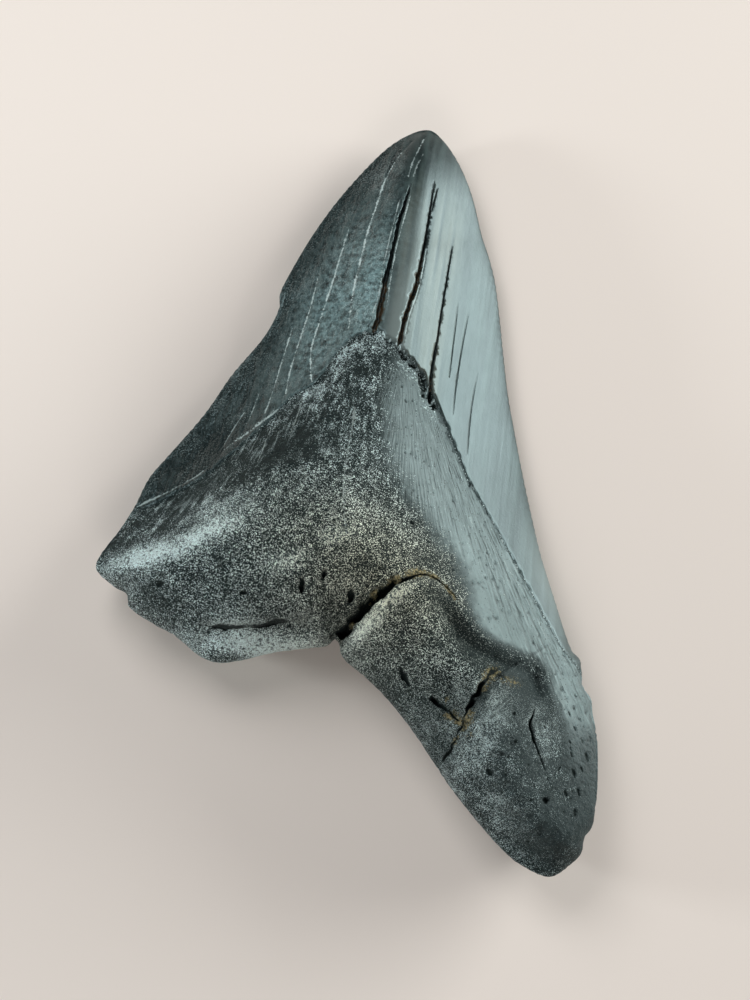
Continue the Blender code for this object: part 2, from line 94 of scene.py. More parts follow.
# Open cracks: points, then half widths and depths along them, in mm.
cracks = {
    "root": ([
        (-2.6, -33), (-1, -31.5), (0.2, -30.2), (1.4, -28.8), (2.5, -27.7), (3.7, -26.6), (5.1, -25.5),
        (6.8, -24.5), (8.5, -23.6), (10, -23.3), (11.7, -23.7), (13.8, -24.8), (15, -25.8),
    ], (0.9, 1.15, 1.1, 0.9, 0.85, 0.7, 0.5, 0.28, 0.16, 0.12, 0.14, 0.12, 0.1),
        (4.4, 4.6, 4.5, 4.2, 3.6, 2.8, 1.7, 0.8, 0.4, 0.2, 0.3, 0.25, 0.15)),
    "lobe": ([
        (21, -37.4), (20.5, -38.4), (20.5, -39.3), (19.7, -39.9), (19.8, -40.8), (19.1, -41.6),
        (19.2, -42.2),
    ], (0.2, 0.5, 0.42, 0.25, 0.5, 0.4, 0.15), (0.5, 1.8, 1.5, 0.9, 1.8, 1.2, 0.3)),
    "lobeAbove": ([
        (23.2, -34.3), (22.5, -35.4), (21.8, -35.8), (21.4, -36.8), (21, -37.4),
    ], (0.3, 0.5, 0.35, 0.3), (0.1, 0.3, 0.28, 0.3)),
    "lobeBelow": ([
        (19.2, -42.2), (18.8, -43.2), (19, -44.2), (18.4, -45.2), (18.5, -46.2), (18, -46.9),
    ], (0.2, 0.14, 0.26, 0.16, 0.24), (0.3, 0.15, 0.35, 0.15, 0.35)),
    "lobeEnd": ([
        (18, -46.9), (18.2, -47.6), (17.5, -48.2), (17.3, -48.9),
    ], (0.15, 0.34, 0.2), (0.3, 0.9, 0.4)),
    "lobeFork": ([
        (29.6, -39.6), (29.3, -41), (29, -42.2), (29.5, -43.4), (30.3, -45), (31.2, -46.4), (32.4, -48.4),
    ], (0.1, 0.16, 0.36, 0.3, 0.14, 0.16, 0.1), (0.25, 0.5, 1.2, 0.9, 0.4, 0.4, 0.2)),
    "slotAbove": ([(8.2, -37), (9.3, -38.2), (10, -39.1)], (0.25, 0.4, 0.25), (0.6, 1.1, 0.6)),
    "slotBelow": ([(13.5, -40.6), (14.8, -41.2), (16.2, -42.2)], (0.4, 0.5, 0.25), (1.1, 1.4, 0.6)),
    "lobeLine": ([(16.6, -42.2), (17.4, -42.9), (18.2, -43.4)], (0.15, 0.2, 0.15), (0.3, 0.4, 0.3)),
    "rootFurrow": ([
        (-3.6, 4.9), (-3, -0.9), (-2.6, -5.4), (-2.5, -8.3),
    ], (0.12, 0.34, 0.26, 0.32, 0.12), (0.04, 0.17, 0.12, 0.16, 0.04)),
    "centreFurrow": ([
        (-4.8, 4.2), (-4.5, 0.5), (-4.1, -3.2), (-4.4, -7),
    ], (0.1, 0.25, 0.2, 0.25, 0.1), (0.04, 0.12, 0.08, 0.1, 0.04)),
    "ledgeSlot": ([
        (-21.6, -35.1), (-19.4, -35), (-16.9, -34.5), (-14.3, -33.8), (-12.5, -33), (-10.1, -32.4),
        (-8.6, -31.9),
    ], (0.12, 0.19, 0.16, 0.13, 0.1, 0.12, 0.16, 0.21, 0.16, 0.1, 0.1),
        (0.3, 0.8, 0.55, 0.3, 0.15, 0.3, 0.5, 0.9, 0.4, 0.1, 0.06)),
    "crownFirst": ([
        (-3.1, 48.6), (-3.5, 44.4), (-3.9, 40.7), (-4.1, 36.9), (-4.2, 33.7), (-4.4, 29.5), (-4.5, 25.5),
        (-4.6, 22.2), (-4.7, 19.5), (-4.9, 18),
    ], (0.12, 0.28, 0.32, 0.3, 0.34, 0.4, 0.42, 0.46, 0.5, 0.42),
        (0.2, 0.8, 0.9, 0.9, 1, 1.1, 1.1, 1.2, 1.1, 0.9)),
    "crownSecond": ([
        (0.9, 51.1), (1, 44.2), (1, 38.8), (0.9, 33.7), (0.7, 28.6), (0.1, 24.5), (-0.3, 20.7),
        (-0.4, 16.8),
    ], (0.1, 0.16, 0.2, 0.25, 0.31, 0.36, 0.4, 0.36), (0.15, 0.4, 0.5, 0.8, 0.9, 1, 1.1, 0.9)),
    "crownSecondBranch": ([(1.7, 49.9), (1.45, 46.6), (1.1, 43.4)], (0.1, 0.12, 0.1), (0.12, 0.25, 0.15)),
    "crownThird": ([
        (5.9, 39.4), (5.8, 31.4), (5.75, 24.7), (5.8, 19.1), (5.7, 13.2), (6.2, 8.4),
    ], (0.1, 0.13, 0.15, 0.17, 0.28, 0.34), (0.15, 0.3, 0.4, 0.4, 0.7, 0.9)),
    "crownFourth": ([(8.4, 29.5), (8.6, 22.5), (8.8, 14)], (0.08, 0.08), (0, 0.06, 0.1, 0.05)),
    "crownFifth": ([
        (10.6, 28.6), (10.3, 21.4), (10.2, 13.4), (10.4, 7.6),
    ], (0.08, 0.09, 0.09), (0, 0.07, 0.12, 0.12, 0.03)),
    "crownSixth": ([(13.9, 18.6), (13.5, 13), (13.5, 7), (13.8, 1.3)], (0.08, 0.08), (0, 0.05, 0.08, 0.03)),
}

# The step of the longer lobe's break, higher on the left.
lobeStep = [
    (22.9, -36), (21.3, -37.6), (20.3, -39.4), (19.7, -42), (19.1, -44.3), (18.5, -46.7), (17.3, -49.1),
]

# Fine cracks, shallow grooves with a pale highlight painted along them: points, half width, strength.
veins = [
    ([
        (-4.1, 59.5), (-6.3, 54.7), (-7.7, 49.2), (-8.2, 44.7), (-8.9, 38.7), (-9.2, 33.3), (-9.5, 26.5),
        (-9.2, 18.4),
    ], 0.22, 1),
    ([
        (-12, 42.5), (-12.8, 33.8), (-13.2, 28.8), (-13.8, 24), (-14.3, 20), (-14.7, 15.6), (-14.2, 11.4),
        (-13.5, 8.1),
    ], 0.2, 0.95),
    ([(-15.9, 32), (-16.1, 25.9), (-16.5, 21.5), (-17.1, 16.1), (-17.5, 10.4), (-17.4, 6)], 0.17, 0.85),
    ([(-18.5, 21.5), (-19.1, 14.6), (-19.5, 9.3), (-19.9, 5), (-20.2, 2.6)], 0.15, 0.8),
    ([(-21.8, 7.7), (-22.5, 2.6), (-23.6, -2.6)], 0.12, 0.6),
    ([(-23.4, 3.8), (-24.9, -0.1), (-26.2, -4.6)], 0.12, 0.5),
    ([
        (-4.2, 47.2), (-4.6, 43.6), (-4.8, 40), (-5.1, 35.1), (-5.3, 29.8), (-5.2, 24.5), (-5.9, 20),
    ], 0.12, 0.75),
    ([
        (-2.6, 48.6), (-3, 43.4), (-3.3, 39.4), (-3.6, 35.4), (-3.7, 31.7), (-3.7, 27.5), (-3.6, 22.5),
    ], 0.12, 0.8),
    ([(-1.9, 61), (-2.6, 57.6), (-3.4, 53.6), (-3.7, 50.2)], 0.16, 0.55),
    ([(-1.6, 57), (-2.4, 53.6), (-2.9, 50.4)], 0.2, 0.4),
    ([(1.5, 36), (1.4, 30.5), (1.1, 26.5), (0.5, 22.5), (0.3, 18.6)], 0.1, 0.5),
    ([(-17.2, 4), (-19, 2.1), (-20.6, 0.6), (-22.3, -1.2), (-24.2, -3), (-25.9, -4.9)], 0.34, 0.75),
    ([
        (-27.2, -7.6), (-29.4, -10.2), (-31.6, -12), (-34.2, -13.9), (-36.4, -15.3), (-38.2, -16.7),
    ], 0.2, 0.55),
    ([(-18.5, 1.3), (-18.9, -3.4), (-19.5, -8.4)], 0.14, 0.6),
    ([(-18, 3), (-17.2, -1), (-17.4, -5)], 0.1, 0.4),
    ([(-20.1, -1), (-20.8, -3.8), (-21.5, -6.8)], 0.12, 0.5),
    ([(-22, -1.8), (-22.5, -4.4), (-23.2, -7.4)], 0.12, 0.45),
    ([(-23.4, -3.6), (-24.1, -6.8)], 0.1, 0.4),
    ([(-14.3, 6.4), (-14.6, 1.9), (-15.3, -2.5)], 0.16, 0.5),
    ([(-13, 4.1), (-13.1, -0.4)], 0.12, 0.35),
    ([(-6.1, 5.5), (-5.7, 0.6), (-5.7, -5.4), (-5.5, -11), (-4.7, -16.4), (-3.7, -20.2)], 0.2, 0.45),
]

# A scarp beside the worn slope, with the higher ground on its left.
scarp = [
    (13.6, -23.6), (15.2, -26.8), (17.5, -29.2), (20.2, -30.8), (23.2, -31.6), (27, -31.9), (30.3, -32.9),
    (31.8, -36), (32.6, -39),
]

# Foramina and small pits of the root: x, y, half length, half width, direction in degrees, depth.
pits = [
    (-5.9, -26.1, 0.75, 0.42, 82, 1.3), (-9, -28.1, 1.15, 0.5, 100, 1.5), (-1.3, -27.9, 1, 0.65, 98, 1.6),
    (-17.5, -30.6, 0.7, 0.4, 20, 0.6), (33.2, -53, 0.6, 0.5, 0, 0.7), (24, -50.5, 0.8, 0.4, 140, 0.5),
    (-30.5, -30.8, 0.8, 0.5, 30, 0.5), (6, -15.2, 0.5, 0.3, 120, 0.4), (37.6, -47.6, 0.9, 0.3, 120, 0.4),
    (38.8, -50.2, 0.8, 0.25, 110, 0.4), (36.6, -51, 0.7, 0.25, 130, 0.35),
    (39.6, -44.4, 0.8, 0.25, 115, 0.35), (38.4, -53.6, 0.8, 0.3, 100, 0.35),
    (36.9, -44.9, 0.6, 0.2, 125, 0.3), (35.6, -38.4, 0.7, 0.18, 130, 0.3),
    (36.9, -40.6, 0.6, 0.2, 125, 0.3), (38.6, -42.2, 0.7, 0.18, 120, 0.3),
    (36.2, -43, 0.5, 0.16, 120, 0.25), (38.9, -46.6, 0.6, 0.2, 130, 0.3), (35, -47.6, 0.5, 0.22, 60, 0.3),
    (26.2, -41.4, 0.5, 0.25, 60, 0.35), (27, -45.6, 0.4, 0.3, 20, 0.35), (31.6, -42, 0.45, 0.2, 120, 0.3),
]

# Grains of sediment caught in the wide crack: x, y, radius, height over the crack's floor.
pebbles = [(-0.2, -30.9, 0.5, 2.9), (2.3, -27.3, 0.5, 2.6), (1.9, -28.3, 0.3, 2.4), (5.3, -25.2, 0.42, 1.6)]

# Patches of colour: x, y, reach along, reach across, direction in degrees, strength. The darker patches are
# painted shade, on hollows, on ends that turn away from the light and on the distal blade; the brighter
# patches are painted highlights on crests and lit strips.
patches = {
    "sediment": [
        (4.6, -25.2, 1.8, 0.5, 36, 0.75), (7.8, -23.6, 2.2, 0.8, 20, 1), (10.4, -23.1, 1.5, 0.6, -10, 0.85),
        (13.4, -24.7, 2, 0.45, -38, 0.9), (2, -27.2, 1.2, 0.4, 45, 0.6), (21.9, -35.9, 2.2, 1.2, 50, 0.85),
        (20.9, -38, 1.6, 1, 65, 0.7), (19.3, -43.4, 2.2, 1, 75, 0.85), (17.1, -42.9, 1.4, 0.8, 20, 0.85),
        (18.3, -43.6, 1.2, 0.8, -40, 0.85), (20.4, -45.4, 1.6, 0.9, 60, 0.4),
        (15.9, -40.7, 0.9, 0.5, 20, 0.5), (18.3, -46.4, 1.2, 0.5, 75, 0.7), (25, -36.3, 3.4, 1.1, 8, 0.5),
    ],
    # painted shade
    "dark": [
        (36, -58, 8, 8, 90, 0.7), (27, -53, 9, 7, -45, 0.3), (41, -46, 6, 2, 95, 0.6),
        (25, -34.6, 8, 2.6, -22, 1), (14, -28, 6, 2.6, -44, 0.75), (-29.5, -5.5, 12, 5.5, 60, 1),
        (-16, -5.5, 10, 5, 25, 0.85), (-8.7, -3.5, 5, 3, 90, 0.5), (-31, -32, 5, 2.2, -15, 0.5),
        (24, -47, 14, 8, -50, 0.2), (13, -41, 8, 5, -45, 0.4), (16.4, -47.8, 4, 2, -50, 0.5),
        (13.1, -33, 3, 2, -40, 0.5), (9, -20.6, 3, 1.6, 5, 0.5), (-40.4, -23.4, 3, 2.4, 0, 0.8),
        (21, -39.4, 4.5, 1, 62, 0.8), (41, -56, 7, 3.6, 80, 1), (18, -32.2, 6, 2.8, -42, 0.95),
        (7.5, -41, 7, 2.6, -48, 0.55), (-28, -13.5, 9, 2.4, 40, 0.9), (-6, 5, 9, 3, 110, 0.3),
        (0, -24.5, 4, 2, 30, 0.35),
    ],
    # painted highlights on crests, on the lit strip below the ledge and on lit edges
    "paleAndHighlight": [
        (-33, -26.4, 6.5, 1.9, 12, 1.2), (-25.5, -23, 6.5, 1.9, 34, 0.9), (-24, -17.6, 6, 2, 20, 0.4),
        (-14, -36, 9, 1.8, 8, 1.2), (1.8, -31.8, 3.5, 1.2, 50, 0.8), (4.6, -28.2, 3.6, 0.9, 42, 0.8),
        (22.5, -45, 6, 2.6, 70, 0.7), (-13.2, 5.8, 1.8, 1.2, 30, 1), (-5.3, -20.4, 3, 1.5, 20, 0.5),
        (-12, -25, 3, 1.4, 20, 0.5), (27.5, -53.5, 8, 3, -50, 0.4), (31, -43, 4, 2.5, -60, 0.5),
    ],
}

# The broken strip along the distal lobe lies below this line.
ledge = [(-24, -34.6), (-21.3, -35), (-16.9, -34.5), (-12.5, -33), (-8.6, -31.9), (-6, -31.6)]

# Where the root's dark granular face turns into its worn slope, which is also painted lighter as the side
# that faces the light, and how many mm the turn reaches there.
wornBorder = [
    (-0.8, 17.5), (-1.8, 12.3), (-2.6, 8.2), (-2.4, 3.2), (-1.4, -2.3), (-0.2, -6.7), (5.4, -13.2),
    (9.2, -16.8), (12.8, -20.2), (15, -23.6), (16.2, -26.6), (17.8, -29), (20.2, -30.6), (23.2, -31.4),
    (27, -31.7), (30.2, -32.7), (31.7, -36), (33.2, -40.3), (35.2, -45.5), (38, -49.6), (43, -53),
]
wornReach = (6, 6, 6, 6.5, 7, 7.5, 7.5, 7, 6.5, 6, 5, 4, 3, 2.4, 2.6, 3.2, 4, 5.5, 7.5, 9, 9)

# Soft-edged spots: x, y, reach along, reach across, direction in degrees.
spots = {
    "thinBlade": (-31, -5, 17, 7, 62),
    "labialHollow": (2, -24, 13, 9, 0),
    "warm": (3, -25, 20, 12, -15),
    # a painted highlight on the mesial flank
    "paleFlank": (31, -17, 9, 3.2, -66),
    # where the teal highlight is painted on the crown's shaded distal face
    "tealMiddle": (-6.8, 26, 13, 2.8, 90),
    "tealBlade": (-11.5, 24, 18, 6, 78),
    "matteLobe": (30.5, -48, 15, 7.5, -60),
    "matteScarp": (23.5, -27.5, 11, 4.5, -40),
    "matteRim": (41, -45, 13, 4, -85),
}

perMetre = 1000  # of the drawing's units

tooth = {
    "rimAtCrown": 4.2,  # height of the cutting edges above the rest face, mm
    "rimAtRoot": 8.5,  # height of the root's rim
    "rimAtTip": 1.2,  # how much the crown's tip curves up
    "crownFullness": 0.32,  # rise of the crown's ridge for each mm of crown width
    "ridgePlace": 0.46,  # the ridge's share of the way from the distal to the mesial edge
    "ridgeSoftness": 0.5,
    "distalBend": 1.12,  # over 1 hollows the crown's side, under 1 fills it
    "mesialBend": 0.9,
    "bladeThinning": 0.32,  # share of its height that the distal blade loses
    "enamelStep": 0.5,  # how far the enamel stands proud of the root
    "enamelRaggedness": 0.45,  # how far its broken edge wanders
    "shoulderSlope": 0.42,  # how steeply the root rises out of the distal blade
    "shoulderSoftness": 3.0,
    "crestRounding": 1.7,
    "rimRounding": 0.62,
    "labialRounding": 13.0,  # how far in from the rim the labial side reaches the rest face
    "labialHollow": 1.8,
    "lumpHeight": 0.45,
    "lumpLength": 8.0,
    "rockiness": 1.1,  # relief of the longer lobe's rocky end
    "crackWander": 0.3,  # how far a crack strays from its drawn line
    "rootLip": 0.9,  # how high a crack's lip stands beside it
    "lobeLip": 1.3,
    "scarpHeight": 1.8,
    "ledgeLoss": 0.4,  # share of the root's height that the broken strip has lost
    "seamDepth": 0.09,
    "apexHole": 0.6,  # depth of the hole under the enamel's broken edge
    "apexCrumbs": 0.35,  # and of the crumbled edge beside it
    "colourReach": 8.0,  # how far round the rim the lingual side's colours run
    "lineStep": 0.5,  # spacing of the mesh's points along lines and rim, and of those between
    "rimStep": 0.5,
    "crownStep": 0.42,
    "rootStep": 0.29,
    "labialStep": 0.62,
    "lingualRings": (0.14, 0.4, 0.8),  # how far in from the rim its rows of points lie
    "labialRings": (0.2, 0.6, 1.2),
    "lingualMargin": 1.1,  # how far in from the rim the points between begin
    "labialMargin": 1.7,
    "lingualRoom": 0.2,  # and how far they keep from the lines
    "labialRoom": 0.3,
    "wideCrack": 0.62,  # half width from which a crack has more rows of points
    "crackGuard": 0.12,  # how far outside a crack its outermost row lies
}


def splineThrough(points, step, closed=False):
    # evenly spaced points on a smooth curve through the drawn ones
    p = np.array(points, float)
    if closed:
        before, a, b, after = np.roll(p, 1, 0), p, np.roll(p, -1, 0), np.roll(p, -2, 0)
    else:
        q = np.vstack([2 * p[0] - p[1], p, 2 * p[-1] - p[-2]])
        before, a, b, after = q[:-3], q[1:-2], q[2:-1], q[3:]
    t = np.linspace(0, 1, 16, endpoint=False)[None, :, None]
    before, a, b, after = (v[:, None, :] for v in (before, a, b, after))
    curve = 0.5 * (2 * a + (b - before) * t + (2 * before - 5 * a + 4 * b - after) * t**2
                   + (3 * a - before - 3 * b + after) * t**3)
    curve = curve.reshape(-1, p.shape[1])
    curve = np.vstack([curve, curve[:1] if closed else p[-1:]])
    along = np.concatenate([[0], np.cumsum(np.linalg.norm(np.diff(curve, axis=0), axis=1))])
    count = max(2, int(round(along[-1] / step)))
    at = np.linspace(0, along[-1], count + 1)
    if closed:
        at = at[:-1]
    return np.stack([np.interp(at, along, curve[:, k]) for k in range(p.shape[1])], 1)


def treeOf(points):
    tree = kdtree.KDTree(len(points))
    for i, (x, y) in enumerate(points):
        tree.insert((x, y, 0), i)
    tree.balance()
    return tree


def nearestOnPath(points, path, closed=False):
    # distance to the path, positive on its left, and the share of the way along it
    tree = treeOf(path)
    at = np.array([tree.find((x, y, 0))[1] for x, y in points])
    count = len(path) if closed else len(path) - 1
    ends = np.roll(path, -1, 0)[:count]
    run = ends - path[:count]
    ahead = run / np.linalg.norm(run, axis=1)[:, None]
    before = ahead + (np.roll(ahead, 1, 0) if closed else np.vstack([ahead[:1], ahead[:-1]]))
    after = ahead + (np.roll(ahead, -1, 0) if closed else np.vstack([ahead[1:], ahead[-1:]]))
    reach, side, share = np.full(len(points), 1e9), np.ones(len(points)), np.zeros(len(points))
    for shift in (-1, 0):
        i = (at + shift) % count if closed else np.clip(at + shift, 0, count - 1)
        t = np.clip(((points - path[i]) * run[i]).sum(1) / (run[i] ** 2).sum(1), 0, 1)
        gap = points - path[i] - t[:, None] * run[i]
        distance = np.linalg.norm(gap, axis=1)
        way = np.where((t == 0)[:, None], before[i], np.where((t == 1)[:, None], after[i], ahead[i]))
        left = way[:, 0] * gap[:, 1] >= way[:, 1] * gap[:, 0]
        nearer = distance < reach
        reach = np.where(nearer, distance, reach)
        side = np.where(nearer, np.where(left, 1, -1), side)
        share = np.where(nearer, (i + t) / count, share)
    return reach * side, share


def beside(p, line):
    return nearestOnPath(p, splineThrough(line, tooth["lineStep"]))


def alongPath(share, values):
    return np.interp(share, np.linspace(0, 1, len(values)), values)


def ease(low, high, value):
    # 0 up to low, 1 from high, and a smooth rise between
    t = np.clip((value - low) / (high - low), 0, 1)
    return t * t * (3 - 2 * t)


def smoothMin(a, b, softness):
    share = np.clip(0.5 + 0.5 * (b - a) / softness, 0, 1)
    return b * (1 - share) + a * share - softness * share * (1 - share)


def ellipse(p, x, y, along, across, turn):
    # square of the distance from x, y, in units of an ellipse that is turned by this many degrees
    c, s = np.cos(np.radians(turn)), np.sin(np.radians(turn))
    u, v = (p[:, 0] - x) * c + (p[:, 1] - y) * s, (p[:, 1] - y) * c - (p[:, 0] - x) * s
    return (u / along) ** 2 + (v / across) ** 2


def spot(p, name):
    return np.exp(-ellipse(p, *spots[name]))


def waves(points, length, seed):
    # slow noise from -1 to 1, with this wave length in mm
    return np.array([slowNoise.noise(Vector((x / length, y / length, seed))) for x, y in points])


outline = splineThrough(distalEdge + distalLobe + rootNotch + mesialLobe + mesialEdge, tooth["rimStep"], True)
distalSide = distalEdge + distalLobe[:3]
mesialSide = mesialLobe[-8:] + mesialEdge + distalEdge[:1]


def insetOf(p):
    return nearestOnPath(p, outline, True)[0]


def rimHeight(p):
    y = p[:, 1]
    crown = tooth["rimAtCrown"] + tooth["rimAtTip"] * ease(30, 64, y)
    return crown + (tooth["rimAtRoot"] - tooth["rimAtCrown"]) * ease(8, -34, y)


def crownRelief(p):
    distal, mesial = np.abs(beside(p, distalSide)[0]), np.abs(beside(p, mesialSide)[0])
    width = distal + mesial
    across = distal / np.maximum(width, 1e-6)
    place = tooth["ridgePlace"]
    rise = smoothMin(across / place, (1 - across) / (1 - place), tooth["ridgeSoftness"])
    toMesial = ease(place - 0.2, place + 0.2, across)
    bend = tooth["distalBend"] + (tooth["mesialBend"] - tooth["distalBend"]) * toMesial
    blade = 1 - tooth["bladeThinning"] * spot(p, "thinBlade")
    return tooth["crownFullness"] * width * np.maximum(rise, 0) ** bend * blade


def rootRelief(p, inset):
    x, y = p.T
    path = splineThrough(crest, tooth["lineStep"])
    fromCrest, share = nearestOnPath(p, path[:, :2])
    fromCrest = np.abs(fromCrest)
    fall = fromCrest / np.maximum(fromCrest + inset, 1e-6)
    relief = alongPath(share, path[:, 2]) * (1 - fall ** tooth["crestRounding"]) ** tooth["rimRounding"]
    for *place, height in rootLumps:
        relief += height * np.exp(-ellipse(p, *place)) * ease(0, 5, inset)
    lumps = tooth["lumpHeight"] * waves(p, tooth["lumpLength"], 0.375)
    lumps += 0.28 * waves(p, 2.6, 5) + 0.15 * waves(p, 1.2, 6)
    facets = 0.4 - np.abs(waves(p, 4.5, 7)) - 0.6 * np.abs(waves(p, 1.9, 8))
    facets -= 0.35 * np.abs(waves(p, 0.9, 9))
    lumps += tooth["rockiness"] * ease(8, 18, x) * ease(-34, -42, y) * facets
    return relief + lumps * ease(0, 4, inset)


def brokenShare(p):
    gap, share = beside(p, ledge)
    gap = gap + 0.3 * waves(p, 1.6, 21)
    ends = ease(0, 0.12, share) * ease(1, 0.9, share)
    return tooth["ledgeLoss"] * ease(0.3, -0.3, gap) * ease(9, 6, np.abs(gap)) * ends


def grooveAcross(p, name):
    # how far each point is from a crack's middle, in half widths and in mm, and its share along the crack
    points, halfWidths, _ = cracks[name]
    gap, share = beside(p, points)
    halfWidth = alongPath(share, halfWidths) * (1 + 0.5 * waves(p, 0.8, 33))
    wander = np.minimum(0.55 * halfWidth, tooth["crackWander"]) * ease(0.12, 0.22, halfWidth)
    gap = gap + wander * (waves(p, 1.5, 31) + 0.5 * waves(p, 0.6, 32))
    return gap / halfWidth, gap, share


def apexDamage(p, ragged):
    # the hole and the crumbs along the enamel's broken edge: depth, and how deep in one each point is
    x = p[:, 0]
    reach = np.interp(x, (-3.5, -1.5, 0.5, 3, 5, 7, 8.5), (0, 0.4, 0.9, 1.3, 1.6, 1, 0))
    reach = reach + (1.3 * waves(p, 1.7, 51) + 0.8 * waves(p, 0.7, 53)) * ease(0, 1, reach)
    hole = ease(-0.05, 0.15, ragged) * ease(reach, reach - 0.5, ragged) * (reach > 0.1)
    hole *= ease(-0.35, 0.05, waves(p, 1.3, 54))
    crumbs = ease(0.12, 0.4, waves(p, 0.9, 52)) * ease(-0.2, 0.2, ragged)
    crumbs *= ease(2.6, 1, ragged) * ease(-11, -9, x) * ease(0, -2, x)
    return tooth["apexHole"] * hole + tooth["apexCrumbs"] * crumbs, np.maximum(0.85 * hole, 0.7 * crumbs)


def lipHeight(p):
    _, gap, share = grooveAcross(p, "root")
    rootLip = ease(-0.3, -1.6, gap) * np.exp(-np.abs(gap) / 4) * ease(1, 0.8, share)
    gap = beside(p, lobeStep)[0] + 0.3 * waves(p, 1, 34)
    lobeLip = ease(0.2, 1.2, gap) * np.exp(-np.abs(gap) / 5)
    return tooth["rootLip"] * rootLip + tooth["lobeLip"] * lobeLip


def carving(p, inset, ragged):
    # how far cracks, pits and seams sink the lingual side, and how deep in one each point is
    sunk, cavityShade = np.zeros(len(p)), np.zeros(len(p))
    for name, (_, _, depths) in cracks.items():
        across, _, share = grooveAcross(p, name)
        depth = alongPath(share, depths)
        sunk += depth * np.maximum(1 - across**4, 0) * ease(0, 0.03, share)
        cavityShade = np.maximum(cavityShade, ease(1, 0.55, np.abs(across)) * np.clip(depth / 0.35, 0, 1))
    gap, share = beside(p, scarp)
    drop = ease(0.5, -2.2, gap) * np.exp(np.minimum(gap + 2.2, 0) / 4.5)
    sunk += tooth["scarpHeight"] * drop * ease(0, 0.2, share) * ease(1, 0.85, share)
    wobble = 1 + 0.35 * waves(p, 0.9, 41)
    for *place, depth in pits:
        out = ellipse(p, *place) / wobble**2
        sunk += depth * np.maximum(1 - out**2, 0)
        cavityShade = np.maximum(cavityShade, ease(1, 0.4, out))
    for x, y, radius, height in pebbles:
        out = ellipse(p, x, y, radius, radius, 0)
        sunk -= height * np.sqrt(np.maximum(1 - out, 0))
        cavityShade = np.where(out < 0.9, 0, cavityShade)
    broken, hollow = apexDamage(p, ragged)
    sunk += broken - lipHeight(p)
    for points, halfWidth, strength in veins:
        gap, _ = beside(p, points)
        sunk += tooth["seamDepth"] * strength * np.maximum(1 - (gap / halfWidth) ** 2, 0)
    return sunk * ease(0, 1.2, inset), np.maximum(cavityShade, hollow) * ease(0, 0.5, inset)


def raggedGap(p, line):
    # distance into the root from the enamel's broken edge
    x = p[:, 0]
    wander = waves(p, 2.4, 11) + 0.6 * waves(p, 1, 12) + 0.4 * waves(p, 0.5, 13)
    rough = 0.35 + ease(-12, -4, x) * ease(14, 8, x)
    return tooth["enamelRaggedness"] * wander * rough - beside(p, line)[0]


def lingualHeight(p, inset, marks):
    x = p[:, 0]
    intoRoot = raggedGap(p, lingualEnamelLine)
    crown = crownRelief(p)
    shoulder = tooth["shoulderSlope"] * ease(2, -18, x) * np.maximum(intoRoot, 0)
    root = smoothMin(crown + shoulder, rootRelief(p, inset), tooth["shoulderSoftness"])
    step = tooth["enamelStep"] * ease(-0.14, 0.14, intoRoot) * ease(14, 4, intoRoot)
    step *= 1 - 0.5 * ease(8, 20, x)
    relief = np.where(intoRoot > 0, root, crown) - step * ease(0, 4, inset)
    sunk, marks["cavityShade"] = carving(p, inset, intoRoot)
    marks["intoRoot"] = intoRoot
    return rimHeight(p) + np.maximum(relief * (1 - brokenShare(p)) - sunk, 0)


def labialHeight(p, inset, marks):
    intoRoot = raggedGap(p, labialEnamelLine)
    base = rimHeight(p)
    short = 1 - np.minimum(inset / tooth["labialRounding"], 1)
    fall = (base + 1) * np.sqrt(1 - short**2)
    hollow = tooth["labialHollow"] * spot(p, "labialHollow")
    wave = 0.5 * waves(p, 11, 9 / 11) + 0.12 * waves(p, 2.8, 61)
    step = tooth["enamelStep"] * ease(-0.2, 0.2, intoRoot) * ease(16, 3, intoRoot)
    marks["cavityShade"] = np.zeros(len(p))
    marks["intoRoot"] = intoRoot
    return np.maximum(base - fall + hollow + wave + step * ease(0, 4, inset), 0)


def rimRings(insets):
    ahead = np.roll(outline, -1, 0) - np.roll(outline, 1, 0)
    inward = np.stack([-ahead[:, 1], ahead[:, 0]], 1) / np.linalg.norm(ahead, axis=1)[:, None]
    rings = [outline + inward * inset for inset in insets]
    return np.vstack([ring[insetOf(ring) > 0.93 * inset] for ring, inset in zip(rings, insets)])


def staggeredGrid(step, margin):
    low, high = outline.min(0), outline.max(0)
    rows = np.arange(low[1], high[1], step * 0.866)
    columns = np.arange(low[0], high[0], step)
    grid = np.array([(x + step / 2 * (i % 2), y) for i, y in enumerate(rows) for x in columns])
    return grid[insetOf(grid) > margin]


def linesBeside(points, halfWidths, shares, guard=0):
    # rows of points along a line, at these shares of its half width and just outside it
    path = splineThrough(points, tooth["lineStep"])
    ahead = np.gradient(path, axis=0)
    left = np.stack([-ahead[:, 1], ahead[:, 0]], 1) / np.linalg.norm(ahead, axis=1)[:, None]
    reach = alongPath(np.linspace(0, 1, len(path)), halfWidths)[:, None]
    lines = [path + left * reach * share for share in shares]
    if guard:
        lines += [path + left * (reach + guard), path - left * (reach + guard)]
    return lines


def lingualLines():
    lines = []
    for points, halfWidths, _ in cracks.values():
        wide = max(halfWidths) > tooth["wideCrack"]
        shares = (-1, -0.82, -0.4, 0, 0.4, 0.82, 1) if wide else (-1, -0.5, 0, 0.5, 1)
        lines += linesBeside(points, halfWidths, shares, tooth["crackGuard"])
    for points, halfWidth, _ in veins:
        lines += linesBeside(points, (halfWidth, halfWidth), (-1, 0, 1))
    return lines


